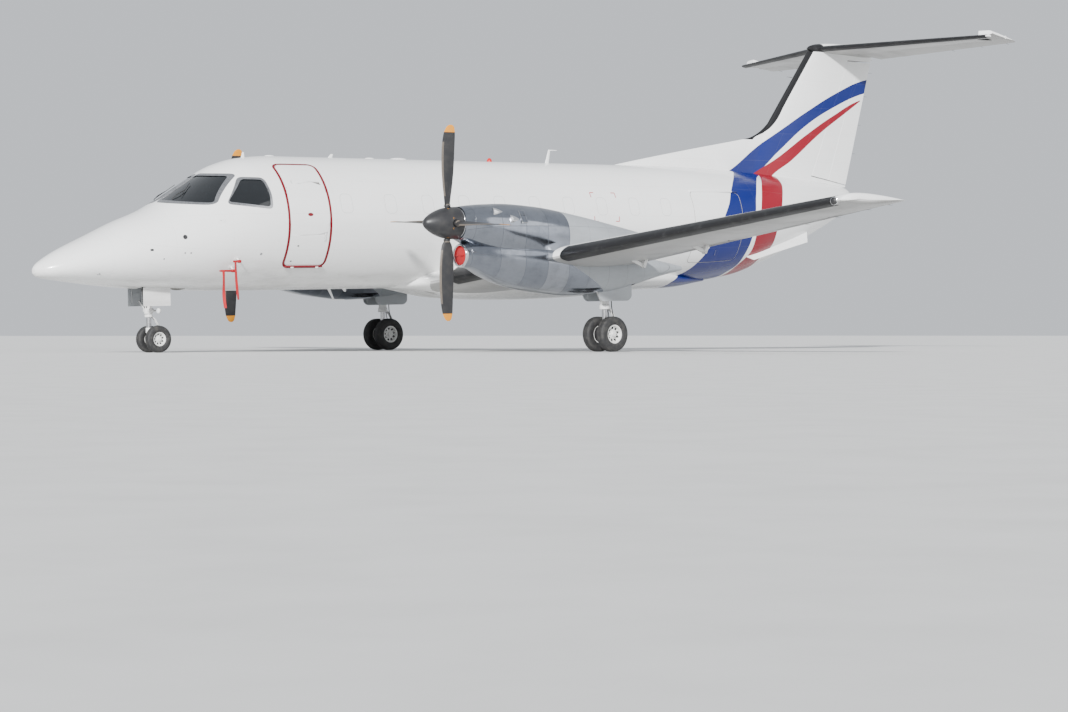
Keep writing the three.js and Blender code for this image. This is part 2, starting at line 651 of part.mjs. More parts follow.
function nacelle(side) {
  const middle = side * engineLine.side;
  const rings = (curve, stations, grow, sides) => loft(
    stations.map((s) => ovalRing(s, middle, curve(s), grow, 2.3, sides)));
  const outer = fuse(rings(cowlAt, cowlStations, 0, 20), rings(chinAt, chinStations, 0, 20));
  const hollow = rings(cowlAt, [5950, 6100, 6400, 6800, 7500, firewall], -40, 12)
    .subtract(wingBody(side, 30));
  const mouth = bar(at(5900, middle, engineLine.height), at(6120, middle, engineLine.height), 225, 225, 16);
  return outer.subtract(hollow).subtract(mouth)
    .subtract(wingBody(side, seam))
    .subtract(box([bay.from, middle - bay.side, -1500], [bay.to, middle + bay.side, bay.roof]))
    .subtract(bar(at(10200, middle, -480), at(10150 - exhaust.depth, middle, -440), exhaust.radius))
    .subtract(bar(at(intake.lip - 20, middle, intake.height), at(intake.lip + intake.depth, middle, intake.height),
      intake.radius, intake.radius, 16));
}

// Engine, one plain block: a ring of eight corners. Columns: station, top, bottom, half width.
const engineTable = [
  [6150, 60, -400, 190],
  [6500, 90, -470, 270],
  [firewall - seam, -75, -440, 235],
];

function engine(side) {
  return loft(engineTable.map(([station, top, bottom, half]) => {
    const cut = 90;
    const corners = [
      [half - cut, top], [half, top - cut], [half, bottom + cut], [half - cut, bottom],
      [cut - half, bottom], [-half, bottom + cut], [-half, top - cut], [cut - half, top],
    ];
    return corners.map(([y, z]) => at(station, side * engineLine.side + y, z));
  }));
}

// Propeller. Columns: radius, chord, thickness, twist in degrees from feathered, sweep aft.
const bladeTable = [
  [100, 84, 84, 0, 0],
  [270, 90, 78, 14, 0],
  [360, 170, 52, 20, 0],
  [620, 245, 32, 13, 0],
  [900, 272, 23, 6, 0],
  [1200, 262, 16, 0, 6],
  [1450, 225, 11, -4, 26],
  [propeller.radius, 120, 6, -6, 52],
];
const bladePoints = 8;
const turnedSides = 16;
const hub = { radius: 128, nose: 102, front: 110, back: -158, plate: 8, shaft: 60 };
const spinner = { edge: -165, inside: 256, shankRoom: 60 };
const plateRadius = spinner.inside - seam / Math.cos(Math.PI / turnedSides);

function blade(turn) {
  const out = new THREE.Vector3(0, Math.sin(turn), Math.cos(turn));
  const round = new THREE.Vector3(0, Math.cos(turn), -Math.sin(turn));
  const ahead = new THREE.Vector3(1, 0, 0);
  return loft(bladeTable.map(([radius, chord, thickness, twist, sweep]) => {
    const pitch = THREE.MathUtils.degToRad(twist);
    const ring = [];
    for (let i = 0; i < bladePoints; i++) {
      const angle = (i + 0.5) / bladePoints * 2 * Math.PI;
      const along = Math.cos(angle) * chord / 2 - sweep;
      const across = Math.sin(angle) * thickness / 2;
      ring.push(out.clone().multiplyScalar(radius)
        .addScaledVector(ahead, along * Math.cos(pitch) - across * Math.sin(pitch))
        .addScaledVector(round, along * Math.sin(pitch) + across * Math.cos(pitch)));
    }
    return ring;
  }));
}

// Turns a profile of [forward, radius] pairs about the X axis.
function turned(profile, sides) {
  const geometry = new THREE.LatheGeometry(profile.map(([x, r]) => new THREE.Vector2(r, x)), sides);
  geometry.rotateZ(-Math.PI / 2);
  return outward(mergeVertices(stripped(geometry), 0.001));
}

function propellerHub(engineFace) {
  const shaft = engineFace - propeller.station - seam;
  let shape = fuse(
    bar(new THREE.Vector3(hub.back, 0, 0), new THREE.Vector3(hub.front, 0, 0), hub.radius, hub.nose, noseSides),
    bar(new THREE.Vector3(hub.back, 0, 0), new THREE.Vector3(hub.back + hub.plate, 0, 0), plateRadius, plateRadius,
      turnedSides),
    bar(new THREE.Vector3(-shaft, 0, 0), new THREE.Vector3(hub.back + 1, 0, 0), hub.shaft));
  for (let i = 0; i < 4; i++) {
    shape = shape.add(blade(i * Math.PI / 2));
  }
  return shape;
}

function spinnerShell() {
  const outside = [[480, 0], [455, 60], [370, 128], [220, 203], [60, 250], [spinner.edge, 268]];
  const inside = [[spinner.edge, spinner.inside], [-145, spinner.inside], [60, 238], [215, 190], [350, 116], [440, 0]];
  let shell = turned([...outside, ...inside], turnedSides);
  for (let i = 0; i < 4; i++) {
    const turn = i * Math.PI / 2;
    const out = new THREE.Vector3(0, Math.sin(turn), Math.cos(turn));
    shell = shell.subtract(bar(out.clone().multiplyScalar(150), out.clone().multiplyScalar(320), spinner.shankRoom));
  }
  return shell;
}

// Fin. Columns: height, nose station, tail station, thickness.
const rudderFloor = 800;
const finTop = 3560;
const finAt = tableCurve([
  [rudderFloor, 15415, 18605, 330],
  [finTop, 17563, 19481, 180],
]);
const rudderTop = 3400;
const rudderGap = { below: 17, above: 26 };
const forwardHingeShare = 0.63;
const aftHingeShare = 0.81;
const rudderForwardBase = { height: 1035, slope: -0.15, station: 17400 };

function finRing(height, grow = 0) {
  const [nose, tail, thickness] = finAt(height);
  const chord = tail - nose;
  return aerofoilRing(thickness / chord, 0, (x, rise) => at(
    nose - grow + (chord + 2 * grow) * x, chord * rise + Math.sign(rise) * grow, height));
}

const finLine = (height, share) => {
  const [nose, tail] = finAt(height);
  return at(nose + (tail - nose) * share, 0, height);
};
const finHalf = (height, share) => {
  const [, , thickness] = finAt(height);
  return thickness * thicknessShare(share);
};

// Everything behind a share of the fin's chord, above the rudder's base and below its top.
function behindFin(share, from, to, ahead = 0) {
  const ring = (height) => {
    const front = finLine(height, share).x + ahead;
    return [[front, 400], [front - 2500, 400], [front - 2500, -400], [front, -400]]
      .map(([x, y]) => new THREE.Vector3(x, y, height));
  };
  return loft([ring(from), ring(to)]);
}

// The rudders' part of the fin, with a gap under their sloping base and a gap over their top.
function rudderZone({ below, above }) {
  const { height, slope, station } = rudderForwardBase;
  const line = (s) => height - below + slope * (s - station);
  const top = rudderTop + above;
  return prism([[15000, line(15000)], [20500, line(20500)], [20500, top], [15000, top]], 'y', -500, 500);
}
const noGap = { below: 0, above: 0 };

// Dorsal fillet. Columns: station, top, half width at the fuselage.
const dorsalTable = [
  [12290, 1150, 30], [13150, 1303, 70], [14470, 1524, 105], [15560, 1700, 125],
  [15860, 1754, 128], [16150, 1880, 128], [16420, 2090, 120], [16700, 2450, 60],
];

function dorsal() {
  return loft(dorsalTable.map(([station, top, half]) => {
    const base = 700;
    const shoulder = top - 45;
    return [
      at(station, 8, top), at(station, 22, shoulder), at(station, half, base),
      at(station, -half, base), at(station, -22, shoulder), at(station, -8, top),
    ];
  }));
}

// Tailplane. Columns as for the wing: distance from the middle, nose station, tail station, thickness.
const tailAt = tableCurve([
  [0, 17790, 19640, 185],
  [3470, 19018, 20000, 88],
]);
const tailHeight = 3625;
const elevator = { from: 130, to: 3470, share: 0.62, hornFrom: 3190, hornShare: 0.2, hinges: [0.1, 0.85] };
const endGap = 14;
const tailPoint = (side, y, x, rise) => {
  const [nose, tail] = tailAt(y);
  return at(nose + (tail - nose) * x, side * y, tailHeight + (tail - nose) * rise);
};
const tailRing = (side, y, slim = 1, grow = 0) => {
  const [nose, tail, thickness] = tailAt(Math.abs(y));
  return aerofoilRing(slim * thickness / (tail - nose), 0, (x, rise) => {
    const spot = tailPoint(side, Math.abs(y), 0.5 + (x - 0.5) * (0.6 + 0.4 * slim), rise);
    spot.y = Math.sign(y) * Math.abs(spot.y);
    spot.z += Math.sign(rise) * grow;
    return spot;
  });
};

function tailBehind(side, share, from, to, ahead = 0) {
  const ring = (y) => {
    const front = tailPoint(side, y, share, 0).x + ahead;
    return [[front, 300], [front - 1600, 300], [front - 1600, -300], [front, -300]]
      .map(([x, z]) => new THREE.Vector3(x, side * y, tailHeight + z));
  };
  return loft([ring(from), ring(to)]);
}

const tailHalf = (y, share) => {
  const [, , thickness] = tailAt(y);
  return thickness * thicknessShare(share);
};

function tailplaneBody() {
  const tips = (side) => [[3400, 1], [3450, 0.75], [3470, 0.4]].map(([y, slim]) => tailRing(side, side * y, slim));
  const half = (side) => loft([tailRing(side, side * 0.01), ...tips(side)]);
  return fuse(half(1), half(-1), loft([tailRing(1, 60), tailRing(1, -60)]));
}

const bulletTable = [
  [17560, 14], [17640, 60], [17850, 104], [18400, 132], [19100, 128], [19560, 96], [19860, 50], [19960, 12],
];

function bullet(grow = 0) {
  return loft(bulletTable.map(([s, r]) => ovalRing(s, 0, [tailHeight + r, tailHeight - r * 0.9, r, tailHeight], grow, 2, 14)));
}

function tailSurfaces() {
  let body = tailplaneBody().add(bullet());
  const elevators = [];
  for (const side of [1, -1]) {
    const { from, to, share, hornFrom, hornShare } = elevator;
    const pivot = (y) => tailPoint(side, y, share, 0);
    const radius = (y) => tailHalf(y, share);
    const wide = loft([tailRing(side, side * from), ...[[3400, 1], [3450, 0.75], [3470, 0.4]].map(
      ([y, slim]) => tailRing(side, side * y, slim))]);
    const room = bar(pivot(from - endGap), pivot(to + 5), hollowFor(radius(from), noseSides),
      hollowFor(radius(to), noseSides), noseSides);
    body = body.subtract(tailBehind(side, share, from - endGap, to + 30)).subtract(room)
      .subtract(tailBehind(side, hornShare, hornFrom - endGap, to + 30, 30));
    const straight = wide.intersect(tailBehind(side, share, from, to)).add(bar(pivot(from), pivot(to), radius(from), radius(to), noseSides));
    const horn = wide.intersect(tailBehind(side, hornShare, hornFrom, to));
    let shape = straight.add(horn);
    const along = pivot(to).sub(pivot(from)).normalize();
    const into = new THREE.Vector3(-1, 0, 0).addScaledVector(along, along.x).normalize();
    for (const spot of elevator.hinges) {
      const point = pivot(from).lerp(pivot(to), spot);
      const parts = hinge(point, along, into, { arm: 110 });
      shape = shape.subtract(parts.notch).add(parts.pin);
      body = body.add(parts.arm).subtract(parts.hole);
    }
    elevators.push([side, shape, pivot(from), along]);
  }
  return { body, elevators };
}

// Turns a shape about a line by an angle.
function swing(shape, origin, along, angle) {
  const geometry = geometryOf(shape);
  geometry.translate(-origin.x, -origin.y, -origin.z);
  geometry.applyQuaternion(new THREE.Quaternion().setFromAxisAngle(along, angle));
  geometry.translate(origin.x, origin.y, origin.z);
  return solid(geometry);
}

// Fin, rudders and what they clear
const finWhole = loft([rudderFloor, finTop].map((height) => finRing(height)));
const forwardLine = (height) => finLine(height, forwardHingeShare);
const aftLine = (height) => finLine(height, aftHingeShare);
const noseTop = rudderTop + 80;
const noseAlong = (line, share, size) => bar(line(rudderFloor), line(noseTop),
  size(finHalf(rudderFloor, share)), size(finHalf(noseTop, share)), noseSides);
const same = (radius) => radius;
const cleared = (radius) => hollowFor(radius, noseSides);
const forwardNose = (size) => noseAlong(forwardLine, forwardHingeShare, size);
const aftNose = (size) => noseAlong(aftLine, aftHingeShare, size);

let finBody = fuse(finWhole, dorsal()).subtract(
  fuse(behindFin(forwardHingeShare, rudderFloor, finTop), forwardNose(cleared)).intersect(rudderZone(rudderGap)));
let rudderForward = finWhole.intersect(behindFin(forwardHingeShare, rudderFloor, finTop))
  .add(forwardNose(same)).intersect(rudderZone(noGap))
  .subtract(behindFin(aftHingeShare, rudderFloor, finTop)).subtract(aftNose(cleared));
let rudderAft = finWhole.intersect(behindFin(aftHingeShare, rudderFloor, finTop))
  .add(aftNose(same)).intersect(rudderZone(noGap));

const upFin = (line) => line(3300).clone().sub(line(1200)).normalize();
const rearward = (along) => new THREE.Vector3(-1, 0, 0).addScaledVector(along, along.x).normalize();
for (const height of [1350, 3150]) {
  const along = upFin(forwardLine);
  const parts = hinge(forwardLine(height), along, rearward(along), { arm: 170 });
  rudderForward = rudderForward.subtract(parts.notch).add(parts.pin);
  finBody = finBody.add(parts.arm).subtract(parts.hole);
}
for (const height of [1650, 2850]) {
  const along = upFin(aftLine);
  const parts = hinge(aftLine(height), along, rearward(along), { arm: 120 });
  rudderAft = rudderAft.subtract(parts.notch).add(parts.pin);
  rudderForward = rudderForward.add(parts.arm).subtract(parts.hole);
}
finBody = finBody.subtract(tubeCut);

// Covered pitot probes low on the port side of the nose: two masts on one base strip, each with a hood
// over its tube and a streamer hanging from the hood.
const probeTable = [
  { station: 3142, height: -755, hood: 300, hang: 235, streamer: 620 },
  { station: 3197, height: -618, hood: 170, hang: 125, streamer: 640 },
];
const probe = { base: 16, mast: 12, reach: 105, hood: 18, aft: 20 };
const streamerSize = { width: 50, thickness: 4 };

function probeCovers() {
  const strip = probeTable.map(({ station, height }) => skinPoint(station, height, 6));
  let shape = bar(strip[0], strip[1], probe.base);
  for (const { station, height, hood, hang, streamer } of probeTable) {
    const tip = skinPoint(station, height, probe.reach);
    const hoodEnds = [0, hood].map((ahead) => tip.clone().add(at(probe.aft - ahead, 0, 0)));
    const middle = tip.clone().add(at(probe.aft - hang, 0, -streamer / 2));
    const frame = [at(-1, 0, 0), at(0, 1, 0), at(0, 0, 1)];
    shape = fuse(shape, bar(skinPoint(station, height, 0), tip, probe.mast), bar(hoodEnds[0], hoodEnds[1], probe.hood),
      block(middle, frame, [streamerSize.width, streamerSize.thickness, streamer]));
  }
  return shape.subtract(fuselageLoft(noseStations, seam));
}

// Ventral strakes. Columns: station, side and height at the skin, then the same at the outer edge.
const strakeTable = [
  [14962, 781, -634, 15105, 866, -706],
  [15766, 710, -454, 15909, 772, -536],
  [16962, 476, -141, 16779, 678, -360],
];
const strakePlate = { half: 12, rooted: 260 };

function strake(side) {
  const across = new THREE.Vector3(0, side * strakePlate.half, 0);
  return loft(strakeTable.map(([s, y, z, edgeS, edgeY, edgeZ]) => {
    const edge = at(edgeS, side * edgeY, edgeZ);
    const skin = at(s, side * y, z);
    const inner = skin.clone().addScaledVector(skin.clone().sub(edge).normalize(), strakePlate.rooted);
    return [
      inner.clone().sub(across), edge.clone().sub(across), edge.clone().add(across), inner.clone().add(across),
    ];
  })).subtract(tubeCut);
}

// Wheels
const axleHeight = (station, radius) => (
  radius - datumHeight - station * Math.sin(noseDown)) / Math.cos(noseDown);

// A tyre about the Y axis, standing on a flat of its outline. Columns: across, radius as a share.
function tyre({ radius, width, rim, sides }) {
  const corner = radius / Math.cos(Math.PI / sides);
  const seatRadius = boreFor(rim, sides);
  const half = width / 2;
  const profile = [
    [-0.72 * half, seatRadius], [-half, rim + 0.5 * (corner - rim)], [-0.55 * half, corner],
    [0.55 * half, corner], [half, rim + 0.5 * (corner - rim)], [0.72 * half, seatRadius],
  ];
  const closed = [...profile, profile[0]];
  const geometry = new THREE.LatheGeometry(closed.map(([across, r]) => new THREE.Vector2(r, across)), sides,
    Math.PI / sides);
  return outward(mergeVertices(stripped(geometry), 0.001));
}

// Two hubs on one axle, turning together about the Y axis.
function hubs({ rim, width, spacing, axle }) {
  const disc = (middle) => {
    const half = width * 0.34;
    const dish = bar(new THREE.Vector3(0, middle - half, 0), new THREE.Vector3(0, middle + half, 0), rim, rim, 12);
    const out = Math.sign(middle);
    const hollow = bar(new THREE.Vector3(0, middle + out * (half + 5), 0), new THREE.Vector3(0, middle + out * half * 0.2, 0),
      rim * 0.82, rim * 0.6, 12);
    const cap = bar(new THREE.Vector3(0, middle, 0), new THREE.Vector3(0, middle + out * half * 0.9, 0), rim * 0.3, rim * 0.26);
    return dish.subtract(hollow).add(cap);
  };
  return fuse(disc(spacing / 2), disc(-spacing / 2),
    bar(new THREE.Vector3(0, -spacing / 2, 0), new THREE.Vector3(0, spacing / 2, 0), axle, axle));
}

function placed(name, shape, material, spot, rotation = [0, 0, 0]) {
  const mesh = piece(name, shape, material);
  mesh.position.copy(spot);
  mesh.rotation.set(...rotation);
  return mesh;
}

function wheelSet(prefix, sizes, side) {
  const spot = at(sizes.station, side, axleHeight(sizes.station, sizes.radius));
  placed(`${prefix}_wheel_hubs`, hubs(sizes), steel(), spot, [0, -noseDown, 0]);
  for (const [word, sign] of [['outboard', 1], ['inboard', -1]]) {
    const away = (side < 0 ? -sign : sign) * sizes.spacing / 2;
    const tyreSpot = spot.clone().add(new THREE.Vector3(0, away, 0));
    const label = side === 0 ? { outboard: 'left', inboard: 'right' }[word] : word;
    placed(`${prefix}_tyre_${label}`, tyre(sizes), rubber(), tyreSpot, [0, -noseDown, 0]);
  }
}

// Main gear leg: outer cylinder, sliding tube, axle sleeve, torque links and the drag brace
function mainLeg(side) {
  const y = side * engineLine.side;
  const s = mainWheel.station;
  const axle = axleHeight(s, mainWheel.radius);
  const roof = bay.roof - seam;
  const arm = (from, to, width) => prism([[from[0], from[1]], [to[0], to[1]], [to[0], to[1] - 46], [from[0], from[1] - 46]],
    'y', y - width / 2, y + width / 2);
  return fuse(
    bar(at(s, y, roof), at(s, y, -1580), 78, 78),
    bar(at(s, y, -1560), at(s, y, axle), 52, 52),
    bar(at(s, y - 78, axle), at(s, y + 78, axle), 70, 70),
    bar(at(s, y, -1570), at(s, y, -1500), 92, 92),
    bar(at(8800, y, roof - 34), at(s - 40, y, -1480), 32, 32, 8),
    bar(at(8800, y - 120, roof - 32), at(8800, y + 120, roof - 32), 32, 32, 8),
    bar(at(s, y - 150, roof - 60), at(s, y + 150, roof - 60), 50, 50, 8),
    arm([s + 60, -1520], [s + 210, -1740], 60),
    arm([s + 210, -1730], [s + 40, -1960], 44),
  ).subtract(bore(at(s, y - 120, axle), at(s, y + 120, axle), mainWheel.axle));
}

// Nose gear: the fixed leg with its braces, and the fork that steers inside it
const steering = { station: noseWheel.station - noseWheel.trail, collar: -1500, bore: -1380, tube: 42 };

function noseLeg() {
  const s = steering.station;
  const roof = -800 - seam;
  return fuse(
    bar(at(s, 0, roof), at(s, 0, steering.collar), 58, 58),
    bar(at(s, 0, steering.collar + 90), at(s, 0, steering.collar), 74, 74),
    bar(at(2560, 0, roof - 28), at(s, 0, -1330), 26, 26, 8),
    bar(at(s, -170, roof - 60), at(s, 170, roof - 60), 38, 38, 8),
    bar(at(2560, -120, roof - 26), at(2560, 120, roof - 26), 26, 26, 8),
  ).subtract(bore(at(s, 0, steering.bore), at(s, 0, steering.collar - 10), steering.tube));
}

function noseFork() {
  const s = steering.station;
  const rear = noseWheel.station;
  const axle = axleHeight(rear, noseWheel.radius);
  const link = (from, to, width) => prism(
    [[from[0], from[1]], [to[0], to[1]], [to[0], to[1] - 36], [from[0], from[1] - 36]], 'y', -width / 2, width / 2);
  return fuse(
    bar(at(s, 0, steering.bore - 6), at(s, 0, axle + 110), steering.tube, steering.tube),
    bar(at(s, 0, axle + 132), at(rear, 0, axle), 46, 46),
    bar(at(s, 0, steering.collar - play), at(s, 0, steering.collar - 50), 66, 66),
    bar(at(rear, -60, axle), at(rear, 60, axle), 50, 50),
    link([s + 40, steering.collar - 12], [s + 170, -1680], 50),
    link([s + 170, -1672], [s + 80, -1860], 40),
  ).subtract(bore(at(rear, -75, axle), at(rear, 75, axle), noseWheel.axle));
}

// Gear doors: plates that hang from the edges of their bays
const noseDoor = (side) => box([1830, side * (260 - seam), -1063], [2340, side * 245, -1372]);
const mainDoorSize = { from: 8810, to: 9560, top: -1060, low: -1445 };
function mainDoor(side, outer) {
  const y = side * engineLine.side + outer * (bay.side - seam);
  const from = Math.min(y, y - outer * 14);
  return box([mainDoorSize.from, from, mainDoorSize.top], [mainDoorSize.to, from + 14, mainDoorSize.low]);
}

// Intake plug with its rim and two grips
function intakeCover() {
  return fuse(
    turned([[60, 0], [52, 90], [30, 145], [0, intake.radius - seam], [-90, intake.radius - seam], [-90, 0]], 16),
    turned([[92, 0], [92, 26], [40, 30], [40, 0]], 8));
}

// Flight deck furniture
function pilotChair(side) {
  const y = side * 440;
  return fuse(
    box([3160, y - 150, floorHeight + seam], [3460, y + 150, -470]),
    box([3080, y - 230, -480], [3560, y + 230, -360]),
    prism([[3500, -400], [3620, -400], [3740, 300], [3640, 300]], 'y', y - 220, y + 220),
    box([3640, y - 120, 290], [3730, y + 120, 440]));
}

function instrumentPanel() {
  return fuse(
    prism([[2600, -300], [2700, -300], [2640, 170], [2480, 200], [2480, 150], [2560, 130]], 'y', -590, 590),
    box([2620, -150, floorHeight + seam], [3020, 150, -420]),
    box([2560, -660, floorHeight + seam], [2640, 660, -280]));
}

// Assembly
piece('radome', radome, whitePaint());
piece('nose_fuselage', noseShell, whitePaint());
for (const [name, shape] of panes) {
  piece(name, shape, glass());
}
const wingCut = (side) => wingBody(side, seam);
piece('centre_fuselage', centreShell.subtract(wingCut(1)).subtract(wingCut(-1)), whitePaint());
piece('aft_fuselage', aftShell, whitePaint());
piece('belly_fairing', fairingLoft()
  .subtract(tubeCut)
  .subtract(wingCut(1)).subtract(wingCut(-1)), whitePaint());
piece('passenger_door', doorShape, whitePaint());
piece('pitot_covers', probeCovers(), redCloth());
piece('cargo_door', cargoShape, whitePaint());
piece('instrument_panel', instrumentPanel(), darkPaint());
piece('fin', finBody, whitePaint());
piece('rudder_forward', rudderForward, whitePaint());
piece('rudder_aft', rudderAft, whitePaint());

const tail = tailSurfaces();
piece('tailplane', tail.body.subtract(loft([rudderTop, finTop + seam].map((height) => finRing(height, seam)))), whitePaint());
for (const [side, shape, pivot, along] of tail.elevators) {
  piece(side > 0 ? 'elevator_left' : 'elevator_right', swing(shape, pivot, along, side * -elevatorDroop), whitePaint());
}

piece('nose_gear_leg', noseLeg(), whitePaint());
piece('nose_gear_fork', noseFork(), whitePaint());
wheelSet('nose', noseWheel, 0);

for (const [word, side] of [['left', 1], ['right', -1]]) {
  piece(`cockpit_chair_${word}`, pilotChair(side), seatCloth());
  piece(`nose_gear_door_${word}`, noseDoor(side), whitePaint());
  piece(`ventral_fin_${word}`, strake(side), whitePaint());
  const { body, moving } = wingWithSurfaces(side);
  piece(`wing_${word}`, body, whitePaint());
  for (const [name, shape] of moving) {
    piece(`${name}_${word}`, shape, whitePaint());
  }
  piece(`nacelle_${word}`, nacelle(side), bareMetal());
  piece(`engine_${word}`, engine(side), steel());
  const thrust = at(propeller.station, side * engineLine.side, engineLine.height);
  placed(`propeller_${word}`, propellerHub(engineTable[0][0]), darkPaint(), thrust, [propeller.turned[word], 0, 0]);
  placed(`spinner_${word}`, spinnerShell(), darkPaint(), thrust, [propeller.turned[word], 0, 0]);
  placed(`intake_cover_${word}`, intakeCover(), redCloth(),
    at(intake.lip + 20, side * engineLine.side, intake.height));
  piece(`main_gear_leg_${word}`, mainLeg(side), whitePaint());
  piece(`main_gear_door_outer_${word}`, mainDoor(side, side), greyPaint());
  piece(`main_gear_door_inner_${word}`, mainDoor(side, -side), greyPaint());
  wheelSet(`main_${word}`, mainWheel, side * engineLine.side);
}

// The whole aircraft, with the middle of its box over the origin
const group = new THREE.Group();
group.add(airframe);
group.updateMatrixWorld(true);
const whole = new THREE.Box3().setFromObject(group, true);
group.position.x = -(whole.min.x + whole.max.x) / 2;

export default group;
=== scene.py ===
"""Looks of a parked twin-turboprop airliner with a T-tail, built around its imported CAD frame.

Shapes are drawn in the airframe's own millimetres: a station is a distance aft of the nose tip, port
is to the left, and height counts from the cabin tube's axis. Each finished piece is then placed in the
frame's metres.
"""

from functools import cache
from math import asin, cos, pi, radians, sin, sqrt, tan

import bmesh
import bpy
from bpy.props import FloatProperty, FloatVectorProperty, IntProperty, PointerProperty
from mathutils import Matrix, Vector


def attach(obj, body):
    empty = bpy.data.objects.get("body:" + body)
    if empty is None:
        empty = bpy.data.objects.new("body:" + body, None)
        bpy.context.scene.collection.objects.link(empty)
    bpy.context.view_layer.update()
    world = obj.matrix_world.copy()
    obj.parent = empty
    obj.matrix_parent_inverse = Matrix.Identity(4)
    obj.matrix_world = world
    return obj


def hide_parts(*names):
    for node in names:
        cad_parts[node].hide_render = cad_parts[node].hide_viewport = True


bl_info = {
    "name": "Turboprop airliner",
    "version": (1, 0, 0),
    "blender": (4, 5, 0),
    "location": "3D View > Sidebar > Airliner",
    "description": "Builds the visible pieces of a parked turboprop airliner around its CAD frame",
    "category": "Object",
}

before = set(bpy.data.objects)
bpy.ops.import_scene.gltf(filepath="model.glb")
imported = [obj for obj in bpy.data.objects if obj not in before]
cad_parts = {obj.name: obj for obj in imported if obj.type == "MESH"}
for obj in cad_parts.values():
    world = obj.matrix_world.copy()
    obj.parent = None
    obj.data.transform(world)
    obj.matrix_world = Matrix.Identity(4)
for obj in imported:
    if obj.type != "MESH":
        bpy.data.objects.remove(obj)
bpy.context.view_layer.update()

# Where the airframe stands: its nose tip, the height of the cabin's axis there, and its lean
NOSE_DOWN = 0.0256
NOSE_X = 9.953495
DATUM_Z = 2.0813
AIRFRAME = (Matrix.Translation((NOSE_X, 0, DATUM_Z)) @ Matrix.Rotation(NOSE_DOWN, 4, "Y") @ Matrix.Scale(0.001, 4))

SEAM = 0.6
CABIN_RADIUS = 1140
WALL = 75
FLOOR = -745
TUBE_SIDES = 96
SIDES = (("left", 1), ("right", -1))


# Sizes and colours that a user would change

def colour(name, description, default):
    return FloatVectorProperty(name=name, description=description, default=default, subtype="COLOR", size=3, min=0,
                               max=1)


def length(name, description, default):
    return FloatProperty(name=name, description=description, default=default, min=0, max=1, subtype="DISTANCE",
                         unit="LENGTH")


class AirlinerColours(bpy.types.PropertyGroup):
    """Colours of the paint, the metal and the trim."""
    white: colour("White paint", "Main colour of the fuselage, fin and wings", (0.87, 0.87, 0.86))
    blue: colour("Blue band", "The wide band across the fin and the tail", (0.001, 0.010, 0.13))
    red: colour("Red band", "The narrow band behind the blue one", (0.24, 0.0008, 0.012))
    door_red: colour("Door outline", "The line round the passenger door", (0.16, 0.001, 0.007))
    metal: colour("Bare metal", "Polished cowlings of the engines", (0.34, 0.36, 0.40))
    grey: colour("Grey paint", "Rear of the nacelles and the gear doors", (0.36, 0.38, 0.40))
    boot: colour("Boot rubber", "De-icing boots on the leading edges", (0.007, 0.007, 0.008))
    blade: colour("Blade paint", "Propeller blades and spinners", (0.018, 0.018, 0.020))
    tip: colour("Blade tips", "Warning colour at the blade tips", (0.72, 0.27, 0.004))
    cover: colour("Covers", "Intake plugs, hoods and streamers", (0.34, 0.001, 0.005))
    floor: colour("Floor", "Floor of the stage", (0.64, 0.64, 0.63))


class AirlinerSizes(bpy.types.PropertyGroup):
    """Sizes of painted lines and soft trim."""
    seam_width: length("Panel joint", "Width of the joints between skin panels", 0.005)
    rivet_pitch: length("Rivet pitch", "Distance from one rivet to the next", 0.045)
    door_line: length("Door line", "Width of the line round the passenger door", 0.046)
    wing_boot: length("Wing boot", "How far the wing's boot reaches behind its edge", 0.19)
    tail_boot: length("Tail boot", "How far the tail's boots reach behind their edges", 0.12)
    tip_band: length("Tip band", "Length of the coloured tip of each blade", 0.13)
    tube_sides: IntProperty(name="Tube sides", description="Faces round the fuselage", default=TUBE_SIDES, min=32,
                            max=192)


def colours():
    return bpy.context.scene.airliner_colours


def sizes():
    return bpy.context.scene.airliner_sizes


# Drawing in the airframe's millimetres

def at(station, port, height):
    return Vector((-station, port, height))


AHEAD = at(-1, 0, 0)
# Aft, to port and up
SQUARE = (at(1, 0, 0), at(0, 1, 0), at(0, 0, 1))


def circle(sides):
    """Angles of the corners of a ring."""
    return [2 * pi * i / sides for i in range(sides)]


def lerp(a, b, t):
    return a + (b - a) * t


def table_curve(rows):
    """A smooth curve through a table whose first column is the station. It never overshoots a row."""
    count = len(rows)
    slopes = [[0.0] * len(rows[0]) for _ in rows]

    def rise(k, c):
        return (rows[k + 1][c] - rows[k][c]) / (rows[k + 1][0] - rows[k][0])

    for k in range(count):
        for c in range(1, len(rows[0])):
            before = rise(max(k - 1, 0), c)
            after = rise(k, c) if k < count - 1 else before
            slopes[k][c] = 2 * before * after / (before + after) if before * after > 0 else 0.0

    def read(x):
        k = 0
        while k < count - 2 and x > rows[k + 1][0]:
            k += 1
        step = rows[k + 1][0] - rows[k][0]
        t = min(1.0, max(0.0, (x - rows[k][0]) / step))
        values = []
        for c in range(1, len(rows[0])):
            bend = (t * (1 - t) ** 2 * slopes[k][c] - t * t * (1 - t) * slopes[k + 1][c]) * step
            values.append(lerp(rows[k][c], rows[k + 1][c], t * t * (3 - 2 * t)) + bend)
        return values

    return read


def spaced(start, end, step):
    """Numbers from start to end, evenly spaced by about a step."""
    count = max(1, round(abs(end - start) / step))
    return [lerp(start, end, i / count) for i in range(count + 1)]


